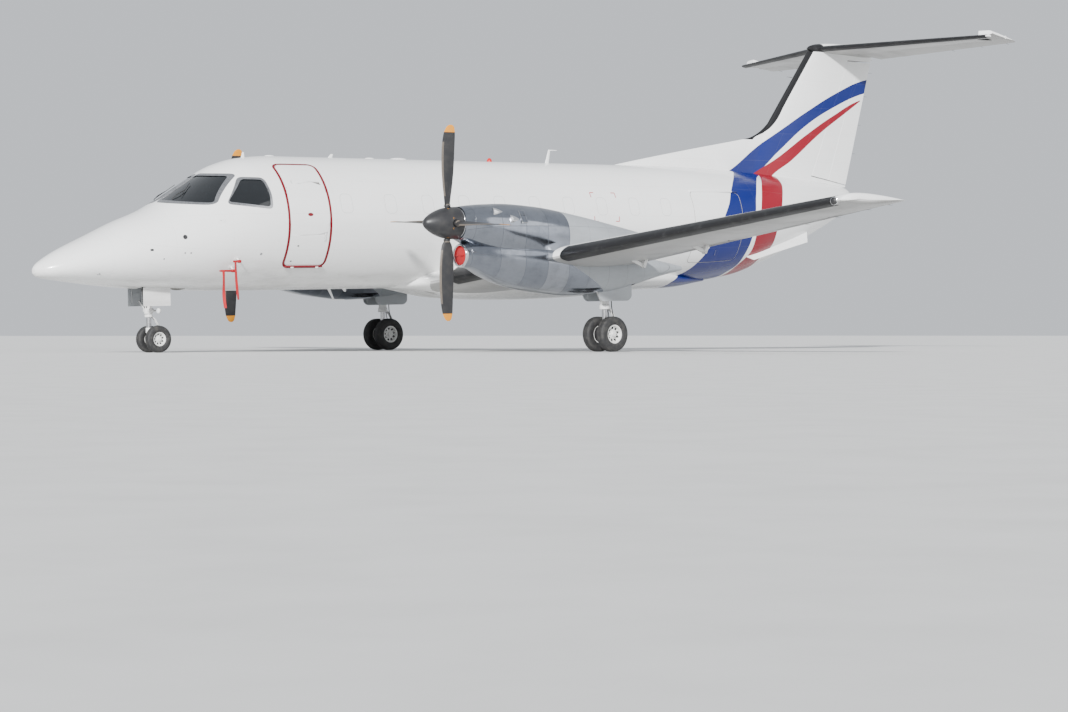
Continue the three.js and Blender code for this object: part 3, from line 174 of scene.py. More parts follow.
def oval_ring(station, port, row, grow, power, sides):
    """A ring of two half ovals that meet at the widest line. Its row is top, bottom, half width, height of that
    line. A power over 2 is squarer than an ellipse."""
    top, bottom, half, widest = row
    ring = []
    for i in range(sides):
        angle = (i + 0.5) / sides * 2 * pi
        across, up = sin(angle), cos(angle)
        reach = top - widest + grow if up > 0 else widest - bottom + grow
        ring.append(at(station, port + (half + grow) * soft(across, power), widest + reach * soft(up, power)))
    return ring


def soft(value, power):
    return abs(value) ** (2 / power) * (1 if value > 0 else -1)


def ring_round(centre, along, radius, sides):
    """A round ring about a line."""
    along = along.normalized()
    first = along.orthogonal().normalized()
    second = along.cross(first)
    return [centre + radius * (cos(a) * first + sin(a) * second) for a in circle(sides)]


class Form:
    """Shells in the airframe's millimetres, gathered into one mesh. A finish is a material's number."""

    def __init__(self):
        self.mesh = bmesh.new()

    def loft(self, rings, finish=0, paint=None, ends=True):
        """A shell through rings of equally many points. paint(ring, point) may choose each face's finish."""
        rows = [[self.mesh.verts.new(point) for point in ring] for ring in rings]
        size = len(rows[0])
        faces = []
        for r in range(len(rows) - 1):
            for i in range(size):
                j = (i + 1) % size
                face = self.mesh.faces.new((rows[r][i], rows[r][j], rows[r + 1][j], rows[r + 1][i]))
                face.material_index = paint(r, i) if paint else finish
                faces.append(face)
        if ends:
            for row in (rows[0], rows[-1]):
                face = self.mesh.faces.new(row)
                face.material_index = finish
                faces.append(face)
        bmesh.ops.recalc_face_normals(self.mesh, faces=faces)
        return self

    def prism(self, outline, axis, start, end, finish=0):
        """A prism over an outline of pairs, along station (x), port (y) or height (z)."""
        turn = {"x": lambda a, b, c: at(c, a, b), "y": lambda a, b, c: at(a, c, b), "z": lambda a, b, c: at(a, b, c)}
        return self.loft([[turn[axis](a, b, c) for a, b in outline] for c in (start, end)], finish)

    def box(self, low, high, round_edge=0.0, finish=0):
        """A block between two corners given as station, port, height."""
        middle = at(*[(a + b) / 2 for a, b in zip(low, high)])
        size = [abs(b - a) for a, b in zip(low, high)]
        return self.block(middle, SQUARE, size, round_edge, finish)

    def block(self, middle, directions, size, round_edge=0.0, finish=0):
        """A block about a middle point, with rounded edges where asked."""
        corners = bmesh.ops.create_cube(self.mesh, size=1.0)["verts"]
        for corner in corners:
            offset = sum((d * s * c for d, s, c in zip(directions, size, corner.co)), Vector())
            corner.co = middle + offset
        faces = {face for corner in corners for face in corner.link_faces}
        bmesh.ops.recalc_face_normals(self.mesh, faces=list(faces))
        if round_edge:
            edges = {edge for corner in corners for edge in corner.link_edges}
            made = bmesh.ops.bevel(self.mesh, geom=list(edges), offset=round_edge, segments=3, profile=0.5,
                                   affect="EDGES")
            faces = {face for face in faces | set(made["faces"]) if face.is_valid}
        for face in faces:
            face.material_index = finish
        return self

    def bar(self, start, end, radius, end_radius=None, sides=32, round_edge=0.0, finish=0):
        """A round bar between two points, with a radius at each end and softened rims."""
        along = end - start
        far = radius if end_radius is None else end_radius
        steps = [(0.0, radius), (along.length, far)]
        if round_edge:
            steps = [(0.0, radius - round_edge), (round_edge * 0.3, radius - 0.3 * round_edge), (round_edge, radius),
                     (along.length - round_edge, far), (along.length - 0.3 * round_edge, far - 0.3 * round_edge),
                     (along.length, far - round_edge)]
        return self.turned(start, along, steps, sides, finish)

    def post(self, station, port, low, high, radius, round_edge=0.0, finish=0):
        """An upright bar."""
        return self.bar(at(station, port, low), at(station, port, high), radius, round_edge=round_edge, finish=finish)

    def axle(self, station, port, half, height, radius, round_edge, finish=0):
        """A crosswise bar."""
        return self.bar(at(station, port - half, height), at(station, port + half, height), radius,
                        round_edge=round_edge, finish=finish)

    def turned(self, start, along, profile, sides, finish=0):
        """A turned shell: pairs of distance along the line and radius, from one end to the other."""
        unit = along.normalized()
        rings = [ring_round(start + unit * d, unit, max(r, 0.05), sides) for d, r in profile]
        return self.loft(rings, finish)

    def hoop(self, centre, along, profile, sides=64, finish=0):
        """A closed ring whose section is a loop of pairs: distance along the line, and radius."""
        unit = along.normalized()
        loops = [ring_round(centre + unit * d, unit, r, sides) for d, r in profile]
        return self.loft([*loops, loops[0]], finish, ends=False).joined()

    def tube(self, path, radius, sides=12, finish=0):
        """A pipe along a path of points."""
        rings = []
        side = None
        for k, point in enumerate(path):
            ahead = (path[min(k + 1, len(path) - 1)] - path[max(k - 1, 0)]).normalized()
            side = ahead.orthogonal() if side is None else side - ahead * side.dot(ahead)
            side.normalize()
            other = ahead.cross(side)
            rings.append([point + radius * (cos(a) * side + sin(a) * other) for a in circle(sides)])
        return self.loft(rings, finish)

    def joined(self):
        bmesh.ops.remove_doubles(self.mesh, verts=self.mesh.verts[:], dist=0.001)
        return self

    def object(self, name, materials=(None,) * 6):
        data = bpy.data.meshes.new(name)
        self.mesh.to_mesh(data)
        for material in materials:
            data.materials.append(material)
        made = bpy.data.objects.new(name, data)
        bpy.context.scene.collection.objects.link(made)
        return made

    def piece(self, name, materials, body, slot, replaces=(), sharp=32, place_by=AIRFRAME):
        """Turns the form into a shown piece that rides on a body."""
        bmesh.ops.transform(self.mesh, matrix=place_by, verts=self.mesh.verts[:])
        self.mesh.normal_update()
        bmesh.ops.recalc_face_normals(self.mesh, faces=self.mesh.faces[:])
        made = self.object(name, materials)
        self.mesh.free()
        made.data.polygons.foreach_set("use_smooth", [True] * len(made.data.polygons))
        made.data.set_sharp_from_angle(angle=radians(sharp))
        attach(made, body)
        if replaces:
            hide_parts(*replaces)
        return made


def carve(form, *tools, operation="DIFFERENCE"):
    """Cuts each tool from the form, or joins or meets it with each tool."""
    body = form.object("carved")
    helpers = [tool.object("tool") for tool in tools]
    for helper in helpers:
        step = body.modifiers.new("carve", "BOOLEAN")
        step.operation = operation
        step.solver = "MANIFOLD"
        step.object = helper
    bpy.context.view_layer.update()
    result = bpy.data.meshes.new_from_object(body.evaluated_get(bpy.context.evaluated_depsgraph_get()))
    if not result.polygons:
        raise RuntimeError("a cut left nothing of its shape")
    form.mesh.clear()
    form.mesh.from_mesh(result)
    for used in (body, *helpers):
        data = used.data
        bpy.data.objects.remove(used)
        bpy.data.meshes.remove(data)
    bpy.data.meshes.remove(result)
    return form


def meet(form, *tools):
    return carve(form, *tools, operation="INTERSECT")


def join(form, *tools):
    return carve(form, *tools, operation="UNION")


def ring_form(rings, finish=0):
    return Form().loft(rings, finish)


def rounded_outline(width, height, corner, points=8):
    """An outline of pairs about its middle, with round corners."""
    outline = []
    for cx, cy, start in ((1, 1, 0), (-1, 1, 90), (-1, -1, 180), (1, -1, 270)):
        for i in range(points + 1):
            angle = radians(start + 90 * i / points)
            outline.append((cx * (width / 2 - corner) + corner * cos(angle), cy * (height / 2 - corner)
                            + corner * sin(angle)))
    return outline


def rounded_polygon(corners, radius):
    """An outline of pairs through corners that are cut round."""
    outline = []
    count = len(corners)
    for k in range(count):
        before, here, after = (Vector(corners[(k + d) % count]) for d in (-1, 0, 1))
        into, out = (before - here).normalized(), (after - here).normalized()
        reach = min(radius, 0.45 * min((before - here).length, (after - here).length))
        for t in (0, 0.2, 0.4, 0.6, 0.8, 1):
            outline.append(tuple(here + into * reach * (1 - t) ** 2 + out * reach * t ** 2))
    return outline


# Materials

class Net:
    """A node tree under construction. An input given a socket is linked to it, and any other value is set."""

    def __init__(self, tree):
        self.tree = tree

    def add(self, kind, inputs=None, **settings):
        node = self.tree.nodes.new(kind)
        for key, value in settings.items():
            setattr(node, key, value)
        for key, value in (inputs or {}).items():
            self.feed(node.inputs[key], value)
        return node

    def feed(self, socket, value):
        if isinstance(value, bpy.types.NodeSocket):
            self.tree.links.new(value, socket)
        elif hasattr(socket.default_value, "__len__") and len(socket.default_value) == 4:
            socket.default_value = (*value[:3], 1.0)
        else:
            socket.default_value = value

    def calc(self, operation, *values, clamp=False):
        return self.add("ShaderNodeMath", dict(enumerate(values)), operation=operation, use_clamp=clamp).outputs[0]

    def times(self, *values, clamp=False):
        return self.calc("MULTIPLY", *values, clamp=clamp)

    def plus(self, *values, clamp=False):
        return self.calc("ADD", *values, clamp=clamp)

    def minus(self, value, taken):
        return self.calc("SUBTRACT", value, taken)

    def rest(self, share):
        return self.minus(1.0, share)

    def most(self, *values):
        return self.calc("MAXIMUM", *values)

    def absolute(self, value):
        return self.calc("ABSOLUTE", value)

    def mix(self, mask, below, above):
        node = self.add("ShaderNodeMix", data_type="RGBA")
        self.feed(node.inputs[0], mask)
        self.feed(node.inputs[6], below)
        self.feed(node.inputs[7], above)
        return node.outputs[2]

    def ramp(self, value, low, high):
        """0 up to low, 1 from high, and smooth between."""
        return self.add("ShaderNodeMapRange", {0: value, 1: low, 2: high, 3: 0.0, 4: 1.0},
                        interpolation_type="SMOOTHSTEP").outputs[0]

    def step(self, value, edge, blur=0.002):
        """1 above an edge."""
        return self.ramp(self.minus(value, edge), -blur, blur)

    def between(self, value, low, high, blur=0.002):
        """1 from one edge to another."""
        above = self.step(value, low, blur)
        return self.minus(above, self.times(above, self.step(value, high, blur)))

    def noise(self, vector, scale, detail, roughness=0.55):
        return self.add("ShaderNodeTexNoise", {"Vector": vector, "Scale": scale, "Detail": detail,
                                               "Roughness": roughness}).outputs[0]

    def spot(self):
        return self.add("ShaderNodeTexCoord").outputs["Object"]

    def group(self, tree, **inputs):
        """Places a node group. Its socket names are given in small letters with low lines for spaces."""
        node = self.add("ShaderNodeGroup", node_tree=tree)
        for socket in node.inputs:
            key = socket.name.lower().replace(" ", "_")
            if key in inputs:
                self.feed(socket, inputs[key])
        return node.outputs

    def rows(self, coordinate, spacing, offset=0.0, width=None):
        """The joints between panels along a coordinate."""
        width = sizes().seam_width if width is None else width
        return self.group(joint_rows(), coordinate=coordinate, spacing=spacing, offset=offset, width=width)["Line"]

    def edge(self, value, points):
        """A line through pairs of a value and its result, read as a straight-sided curve."""
        low, high = points[0][0], points[-1][0]
        floor = min(p[1] for p in points)
        ceiling = max(p[1] for p in points)
        share = self.add("ShaderNodeMapRange", {0: value, 1: low, 2: high, 3: 0.0, 4: 1.0}).outputs[0]
        node = self.add("ShaderNodeFloatCurve", {1: share})
        line = node.mapping.curves[0].points
        for _ in range(len(points) - 2):
            line.new(0.5, 0.5)
        shares = [((x - low) / (high - low), (y - floor) / (ceiling - floor)) for x, y in points]
        for knot, location in zip(line, shares):
            knot.location = location
        for knot in line:
            knot.handle_type = "AUTO_CLAMPED"
        node.mapping.update()
        return self.add("ShaderNodeMapRange", {0: node.outputs[0], 1: 0.0, 2: 1.0, 3: floor, 4: ceiling}).outputs[0]


def shader_group(name, inputs, outputs, build):
    """Makes a node group. Inputs and outputs are names with their defaults: a number, or three or four of them."""
    tree = bpy.data.node_groups.new(name, "ShaderNodeTree")
    kinds = {0: "NodeSocketFloat", 3: "NodeSocketVector", 4: "NodeSocketColor"}
    for way, sockets in (("INPUT", inputs), ("OUTPUT", outputs)):
        for label, default in sockets.items():
            kind = kinds[len(default) if isinstance(default, tuple) else 0]
            made = tree.interface.new_socket(label, in_out=way, socket_type=kind)
            if way == "INPUT":
                made.default_value = default
    net = Net(tree)
    source = net.add("NodeGroupInput").outputs
    results = build(net, source)
    target = net.add("NodeGroupOutput")
    for label, value in results.items():
        net.feed(target.inputs[label], value)
    return tree


@cache
def airframe_place():
    """Station, side and height of a point of the surface, in the airframe's metres."""
    def build(net, source):
        nose = (NOSE_X, 0, DATUM_Z)
        away = net.add("ShaderNodeVectorMath", {0: net.spot(), 1: nose}, operation="SUBTRACT").outputs[0]

        def along(direction):
            return net.add("ShaderNodeVectorMath", {0: away, 1: direction}, operation="DOT_PRODUCT").outputs["Value"]

        return {"Station": along((-cos(NOSE_DOWN), 0, sin(NOSE_DOWN))), "Side": along((0, 1, 0)),
                "Height": along((sin(NOSE_DOWN), 0, cos(NOSE_DOWN)))}
    return shader_group("airframe_place", {}, {"Station": 0.0, "Side": 0.0, "Height": 0.0}, build)


@cache
def joint_rows():
    """Lines at even steps of a coordinate, as on the joints between panels."""
    def build(net, source):
        moved = net.minus(source["Coordinate"], source["Offset"])
        away = net.calc("PINGPONG", moved, net.times(source["Spacing"], 0.5))
        half = net.times(source["Width"], 0.5)
        return {"Line": net.rest(net.ramp(away, 0.0, half))}
    return shader_group("joint_rows", {"Coordinate": 0.0, "Spacing": 1.0, "Offset": 0.0, "Width": 0.005},
                        {"Line": 0.0}, build)


@cache
def rounded_frame():
    """A line round a rectangle with round corners, and the mask of its inside."""
    def build(net, source):
        out = []
        for coordinate, centre, half in (("Across", "Centre Across", "Half Width"),
                                         ("Up", "Centre Up", "Half Height")):
            away = net.absolute(net.minus(source[coordinate], source[centre]))
            inner = net.minus(source[half], source["Corner"])
            out.append(net.minus(away, inner))
        outside = [net.most(value, 0.0) for value in out]
        round_part = net.calc("SQRT", net.plus(*[net.times(v, v) for v in outside]))
        flat_part = net.calc("MINIMUM", net.most(*out), 0.0)
        distance = net.minus(net.plus(round_part, flat_part), source["Corner"])
        half_line = net.times(source["Line"], 0.5)
        from_line = net.minus(net.absolute(distance), half_line)
        return {"Line": net.rest(net.ramp(from_line, -0.0015, 0.0015)),
                "Inside": net.rest(net.ramp(distance, -0.0015, 0.0015))}
    return shader_group("rounded_frame", {"Across": 0.0, "Up": 0.0, "Centre Across": 0.0, "Centre Up": 0.0,
                                          "Half Width": 0.1, "Half Height": 0.1, "Corner": 0.02, "Line": 0.01},
                        {"Line": 0.0, "Inside": 0.0}, build)


@cache
def rivet_dots():
    """Small dots on an even grid of two coordinates."""
    def build(net, source):
        half = net.times(source["Pitch"], 0.5)
        squares = []
        for coordinate in ("Across", "Up"):
            away = net.minus(half, net.calc("PINGPONG", source[coordinate], half))
            squares.append(net.times(away, away))
        distance = net.calc("SQRT", net.plus(*squares))
        return {"Dots": net.rest(net.ramp(distance, 0.0, source["Size"]))}
    return shader_group("rivet_dots", {"Across": 0.0, "Up": 0.0, "Pitch": 0.05, "Size": 0.006}, {"Dots": 0.0}, build)


@cache
def weathering():
    """Fine grime over a colour, more in broad patches, with its roughness and a slow wave of the surface."""
    def build(net, source):
        where = net.spot()
        stretched = net.add("ShaderNodeVectorMath", {0: where, 1: (0.35, 1.0, 1.6)}, operation="MULTIPLY").outputs[0]
        broad = net.ramp(net.noise(stretched, 1.7, 4.0, 0.6), 0.45, 0.75)
        fine = net.ramp(net.noise(stretched, 24.0, 5.0, 0.7), 0.4, 0.85)
        mask = net.times(net.plus(net.times(broad, 0.65), net.times(fine, 0.35)), source["Amount"], clamp=True)
        rough = net.plus(source["Roughness"], net.times(mask, 0.35), clamp=True)
        return {"Color": net.mix(mask, source["Color"], source["Grime"]), "Roughness": rough,
                "Wave": net.noise(where, source["Wave Scale"], 1.0, 0.4)}
    return shader_group("weathering", {"Color": (0.8, 0.8, 0.8, 1.0), "Grime": (0.2, 0.19, 0.17, 1.0), "Amount": 0.3,
                                       "Roughness": 0.3, "Wave Scale": 3.0},
                        {"Color": (0.8, 0.8, 0.8, 1.0), "Roughness": 0.3, "Wave": 0.0}, build)


def material(name):
    """An empty material and its builder."""
    made = bpy.data.materials.new(name)
    made.use_nodes = True
    made.node_tree.nodes.clear()
    return made, Net(made.node_tree)


def dress(net, bump=None, bump_distance=0.002, bump_strength=0.5, **sockets):
    """The surface shader and its output. Sockets are named in small letters with low lines for spaces."""
    shader = net.add("ShaderNodeBsdfPrincipled")
    for socket in shader.inputs:
        key = socket.name.lower().replace(" ", "_")
        if key in sockets:
            net.feed(socket, sockets[key])
    if bump is not None:
        normal = net.add("ShaderNodeBump", {"Height": bump, "Distance": bump_distance, "Strength": bump_strength})
        net.feed(shader.inputs["Normal"], normal.outputs[0])
    net.add("ShaderNodeOutputMaterial", {"Surface": shader.outputs[0]})


# A plugged cabin window, in metres
WINDOW = {"centre_up": 0.298, "half_width": 0.118, "half_height": 0.162, "corner": 0.08, "line": 0.007}
WINDOW_PITCH, WINDOW_START = 0.796, 6.215
EXIT_STATION, EXIT_HEIGHT = 11.08, 0.285
JOINT_GREY = (0.25, 0.25, 0.25)
# Leading edges in metres: their station at the middle, and how far aft they run to each metre of span
WING_EDGE = (7.2154, 0.094116)
TAILPLANE_EDGE = (17.79, 0.35389)
WING_BOOTS = [(1.25, 2.72), (3.95, 9.64)]
TAILPLANE_BOOTS = [(0.0, 3.44)]
# Panels of a cowl: their length in metres and their width as an angle, with where the first one starts
COWL_PANEL, COWL_START = 0.46, 0.12
COWL_TURN, COWL_FIRST = 0.785, 0.25
# Edges of the tail's bands: height and station, in metres
BLUE_FRONT = [(-1.3, 12.95), (-1.133, 13.036), (-1.062, 13.174), (-0.917, 13.443), (-0.716, 13.62),
              (-0.424, 13.78), (0.166, 14.12), (0.371, 14.27), (0.623, 14.45), (0.945, 14.88), (1.088, 15.22),
              (1.531, 15.94), (1.931, 16.66), (2.344, 17.45), (2.764, 18.39), (3.02, 19.15), (3.1, 19.7)]
BLUE_REAR = [(-1.2, 14.6), (-0.98, 14.68), (-0.8, 14.83), (-0.607, 14.87), (-0.404, 14.91), (0.284, 15.02),
             (0.559, 15.14), (0.895, 15.50), (1.032, 15.90), (1.485, 16.54), (2.033, 17.36), (2.428, 18.2),
             (2.76, 19.2), (2.84, 19.7)]
RED_FRONT = [(-1.1, 14.76), (-0.85, 14.82), (-0.655, 14.96), (-0.524, 15.03), (-0.175, 15.05), (0.321, 15.19),
             (0.461, 15.25), (0.664, 15.38), (0.779, 15.49), (0.96, 15.73), (1.376, 16.54), (1.837, 17.35),
             (2.259, 18.2), (2.62, 19.1), (2.7, 19.7)]
RED_REAR = [(-1.1, 15.5), (-0.8, 15.46), (-0.413, 15.70), (-0.073, 15.73), (0.471, 15.92), (0.677, 16.06),
            (0.794, 16.16), (0.914, 16.24), (1.323, 16.92), (1.879, 17.77), (2.359, 18.65), (2.60, 19.1)]
FIN_EDGE = [(1.60, 15.70), (1.754, 15.86), (1.88, 16.15), (2.09, 16.42), (2.45, 16.70), (3.56, 17.563)]


@cache
def tail_bands():
    """Masks of the blue and the red band that sweep down the fin and round the tail."""
    def build(net, source):
        where = net.group(airframe_place())
        masks = {}
        for label, front, rear in (("Blue", BLUE_FRONT, BLUE_REAR), ("Red", RED_FRONT, RED_REAR)):
            behind = net.step(net.minus(where["Station"], net.edge(where["Height"], front)), 0.0, 0.004)
            ahead = net.step(net.minus(net.edge(where["Height"], rear), where["Station"]), 0.0, 0.004)
            masks[label] = net.times(behind, ahead)
        return masks
    return shader_group("tail_bands", {}, {"Blue": 0.0, "Red": 0.0}, build)


@cache
def skin_paint():
    """Gloss white paint of the fuselage, with panel joints, plugged windows, marks and the tail's bands."""
    made, net = material("skin_paint")
    tone = colours()
    size = sizes()
    where = net.group(airframe_place())
    arc = net.times(net.calc("ARCTAN2", where["Height"], net.absolute(where["Side"])), CABIN_RADIUS / 1000)
    rings = net.rows(where["Station"], 0.995, 0.1)
    lanes = net.rows(arc, 0.62, 0.12)
    ring_rivets = net.group(rivet_dots(), across=where["Station"], up=arc, pitch=size.rivet_pitch, size=0.006)
    from_window = net.calc("PINGPONG", net.minus(where["Station"], WINDOW_START), WINDOW_PITCH / 2)
    windows = net.group(rounded_frame(), across=from_window, up=where["Height"], **WINDOW)
    on_row = net.between(where["Station"], 5.85, 12.9)
    first = net.group(rounded_frame(), across=where["Station"], up=where["Height"], centre_across=5.30, **WINDOW)
    plugs = net.most(net.times(windows["Line"], on_row), first["Line"])
    door = net.group(rounded_frame(), across=where["Station"], up=arc, centre_across=4.537, centre_up=0.160,
                     half_width=0.392 + 0.5 * size.door_line, half_height=0.977 + 0.5 * size.door_line, corner=0.13,
                     line=size.door_line)
    port = net.step(where["Side"], 0.2)
    outline = net.times(door["Line"], port)
    squares = [net.calc("POWER", net.calc("DIVIDE", net.minus(value, middle), half), 2.0) for value, middle,
               half in ((where["Station"], 4.544, 0.055), (arc, 0.105, 0.03))]
    red_oval = net.rest(net.step(net.plus(*squares), 1.0, 0.15))
    outline = net.most(outline, net.times(red_oval, port))
    exit_mark = net.group(rounded_frame(), across=where["Station"], up=where["Height"], centre_across=EXIT_STATION,
                          centre_up=EXIT_HEIGHT, half_width=0.30, half_height=0.265, corner=0.005, line=0.016)
    far_across = net.step(net.absolute(net.minus(where["Station"], EXIT_STATION)), 0.21)
    far_up = net.step(net.absolute(net.minus(where["Height"], EXIT_HEIGHT)), 0.175)
    corners = net.times(exit_mark["Line"], net.times(far_across, far_up))
    joints = net.most(net.most(rings, lanes), plugs)
    bands = net.group(tail_bands())
    aft = net.step(where["Station"], 12.6)
    base = net.mix(net.times(bands["Blue"], aft), tone.white, tone.blue)
    base = net.mix(net.times(bands["Red"], aft), base, tone.red)
    base = net.mix(outline, base, tone.door_red)
    base = net.mix(net.times(corners, port), base, (0.5, 0.02, 0.03))
    base = net.mix(net.times(joints, 0.30), base, JOINT_GREY)
    base = net.mix(net.times(plugs, 0.30), base, JOINT_GREY)
    # Darker towards the bottom: more of the grime colour is laid on low on the tube.
    low = net.ramp(where["Height"], -0.5, -1.1)
    banded = net.most(net.times(net.plus(bands["Blue"], bands["Red"]), aft), outline)
    plain = net.rest(net.times(banded, 0.9))
    amount = net.times(net.plus(0.10, net.times(low, 0.7)), plain)
    worn = net.group(weathering(), color=base, grime=(0.34, 0.325, 0.30), amount=amount, roughness=0.24,
                     wave_scale=2.2)
    height = net.minus(net.times(worn["Wave"], 1.2), net.plus(net.times(joints, 0.8),
                                                              net.times(ring_rivets["Dots"], 0.12)))
    dress(net, bump=height, bump_distance=0.002, bump_strength=0.35, base_color=worn["Color"],
          roughness=worn["Roughness"], coat_weight=net.calc("MULTIPLY_ADD", banded, -0.3, 0.35), coat_roughness=0.08,
          specular_ior_level=0.35)
    return made


def plain_paint(name, base, rough, grime, amount, spacing):
    """One colour with grime, panel joints across the airframe and rivets."""
    made, net = material(name)
    where = net.group(airframe_place())
    worn = net.group(weathering(), color=base, grime=grime, amount=amount, roughness=rough, wave_scale=4.0)
    joints = net.most(net.rows(where["Station"], spacing), net.rows(where["Side"], spacing))
    base_color = net.mix(net.times(joints, 0.25), worn["Color"], (0.2, 0.2, 0.2))
    dress(net, bump=net.minus(worn["Wave"], joints), bump_distance=0.0015, bump_strength=0.3, base_color=base_color,
          roughness=worn["Roughness"], coat_weight=0.2, coat_roughness=0.1)
    return made


@cache
def fin_paint():
    """White fin with the two bands and the black boot on its leading edge."""
    made, net = material("fin_paint")
    tone = colours()
    where = net.group(airframe_place())
    bands = net.group(tail_bands())
    behind = net.minus(where["Station"], net.edge(where["Height"], FIN_EDGE))
    boot = net.times(net.rest(net.step(behind, sizes().tail_boot)), net.step(where["Height"], 1.72))
    spars = net.rows(net.minus(where["Station"], net.times(where["Height"], 0.62)), 0.8, 0.35)
    joints = net.most(spars, net.rows(where["Height"], 0.55, 0.2))
    base = net.mix(bands["Blue"], tone.white, tone.blue)
    base = net.mix(bands["Red"], base, tone.red)
    base = net.mix(net.times(joints, 0.25), base, JOINT_GREY)
    plain = net.rest(net.plus(bands["Blue"], bands["Red"]))
    worn = net.group(weathering(), color=base, grime=(0.42, 0.40, 0.37), roughness=0.25, wave_scale=3.0,
                     amount=net.calc("MULTIPLY_ADD", plain, 0.12, 0.02))
    color = net.mix(boot, worn["Color"], tone.boot)
    rough = net.plus(worn["Roughness"], net.times(boot, 0.15))
    dress(net, bump=net.minus(worn["Wave"], joints), bump_distance=0.0015, bump_strength=0.3, base_color=color,
          roughness=rough, coat_roughness=0.1, coat_weight=net.times(net.rest(boot),
                                                                     net.calc("MULTIPLY_ADD", plain, 0.25, 0.05)),
          specular_ior_level=0.35)
    return made


def booted_paint(name, edge, depth, spans):
    """Paint of a wing or tailplane with black boots along spans of its leading edge, and painted shade on its
    undersides.
    """
    made, net = material(name)
    tone = colours()
    where = net.group(airframe_place())
    side = net.absolute(where["Side"])
    behind = net.minus(where["Station"], net.plus(edge[0], net.times(side, edge[1])))
    near = net.rest(net.step(behind, depth))
    on = net.between(side, *spans[0])
    for span in spans[1:]:
        on = net.most(on, net.between(side, *span))
    boot = net.times(near, on)
    joints = net.most(net.rows(behind, 0.42, 0.33), net.rows(side, 0.74, 0.1))
    rivets = net.group(rivet_dots(), across=behind, up=side, pitch=sizes().rivet_pitch, size=0.006)
    # Painted shade: faces that point down are turned dark grey and given more of the grime colour, so the undersides
    # look shaded.
    facing = net.add("ShaderNodeSeparateXYZ", {0: net.add("ShaderNodeNewGeometry").outputs["True Normal"]}).outputs[2]
    painted_underside_shade = net.ramp(facing, -0.05, -0.45)
    base = net.mix(net.times(painted_underside_shade, 0.85), tone.white, (0.25, 0.245, 0.235))
    worn = net.group(weathering(), color=base, grime=(0.20, 0.19, 0.175), roughness=0.3, wave_scale=3.5,
                     amount=net.calc("MULTIPLY_ADD", painted_underside_shade, 0.3, 0.2))
    color = net.mix(net.times(joints, 0.3), worn["Color"], (0.2, 0.2, 0.2))
    scuffed = net.mix(net.ramp(net.noise(net.spot(), 9.0, 6.0), 0.5, 0.8), tone.boot, (0.026, 0.026, 0.027))
    height = net.minus(worn["Wave"], net.plus(joints, net.times(rivets["Dots"], 0.2)))
    dress(net, bump=height, bump_distance=0.0015, bump_strength=0.3, base_color=net.mix(boot, color, scuffed),
          roughness=net.plus(worn["Roughness"], net.times(boot, 0.15)),
          coat_weight=net.calc("MULTIPLY_ADD", boot, -0.22, 0.25), coat_roughness=0.12, specular_ior_level=0.35)
    return made


@cache
def wing_paint():
    return booted_paint("wing_paint", WING_EDGE, sizes().wing_boot, WING_BOOTS)


@cache
def tailplane_paint():
    return booted_paint("tailplane_paint", TAILPLANE_EDGE, sizes().tail_boot, TAILPLANE_BOOTS)


@cache
def cowl_metal():
    """Polished sheet metal in panels, each a little lighter or duller than the next, grey-painted at the rear."""
    made, net = material("cowl_metal")
    tone = colours()
    where = net.group(airframe_place())
    side = net.minus(net.absolute(where["Side"]), 3.29)
    turn = net.calc("ARCTAN2", net.plus(where["Height"], 0.3), side)
    joints = net.most(net.rows(where["Station"], COWL_PANEL, COWL_START, 0.007),
                      net.rows(turn, COWL_TURN, COWL_FIRST, 0.014))
    cell = net.add("ShaderNodeCombineXYZ", {0: net.calc("FLOOR",
                                                        net.calc("DIVIDE", net.minus(where["Station"], COWL_START),
                                                                 COWL_PANEL)),
                                            1: net.calc("FLOOR",
                                                        net.calc("DIVIDE", net.minus(turn, COWL_FIRST), COWL_TURN)),
                                            2: 0.0}).outputs[0]
    panel = net.add("ShaderNodeTexWhiteNoise", {"Vector": cell}).outputs["Value"]
    across = net.times(turn, 0.45)
    rivets = net.group(rivet_dots(), across=where["Station"], up=across, pitch=0.038, size=0.005)
    dots = net.times(rivets["Dots"], net.rows(where["Station"], COWL_PANEL, COWL_START, 0.07))
    drop = net.most(net.minus(-0.8, where["Height"]), 0.0)
    border = net.calc("MULTIPLY_ADD", drop, 2.0, 7.95)
    painted = net.step(net.minus(where["Station"], border), 0.0)
    shade = net.mix(net.times(panel, 0.5), tone.metal, (0.13, 0.15, 0.19))
    smear = net.ramp(net.noise(net.spot(), 5.0, 5.0, 0.65), 0.42, 0.8)
    shade = net.mix(net.times(smear, 0.4), shade, (0.10, 0.11, 0.13))
    shade = net.mix(painted, shade, tone.grey)
    worn = net.group(weathering(), color=shade, grime=(0.08, 0.075, 0.07), amount=0.3, wave_scale=2.6,
                     roughness=net.plus(0.09, net.times(panel, 0.10)))
    color = net.mix(net.times(joints, 0.75), worn["Color"], (0.03, 0.03, 0.03))
    rough = net.plus(worn["Roughness"], net.times(painted, 0.22))
    height = net.minus(net.times(worn["Wave"], 4.0), net.plus(joints, net.times(dots, 0.5)))
    dress(net, bump=height, bump_distance=0.003, bump_strength=0.4, base_color=color, roughness=rough,
          metallic=net.rest(net.times(painted, 0.85)))
    return made


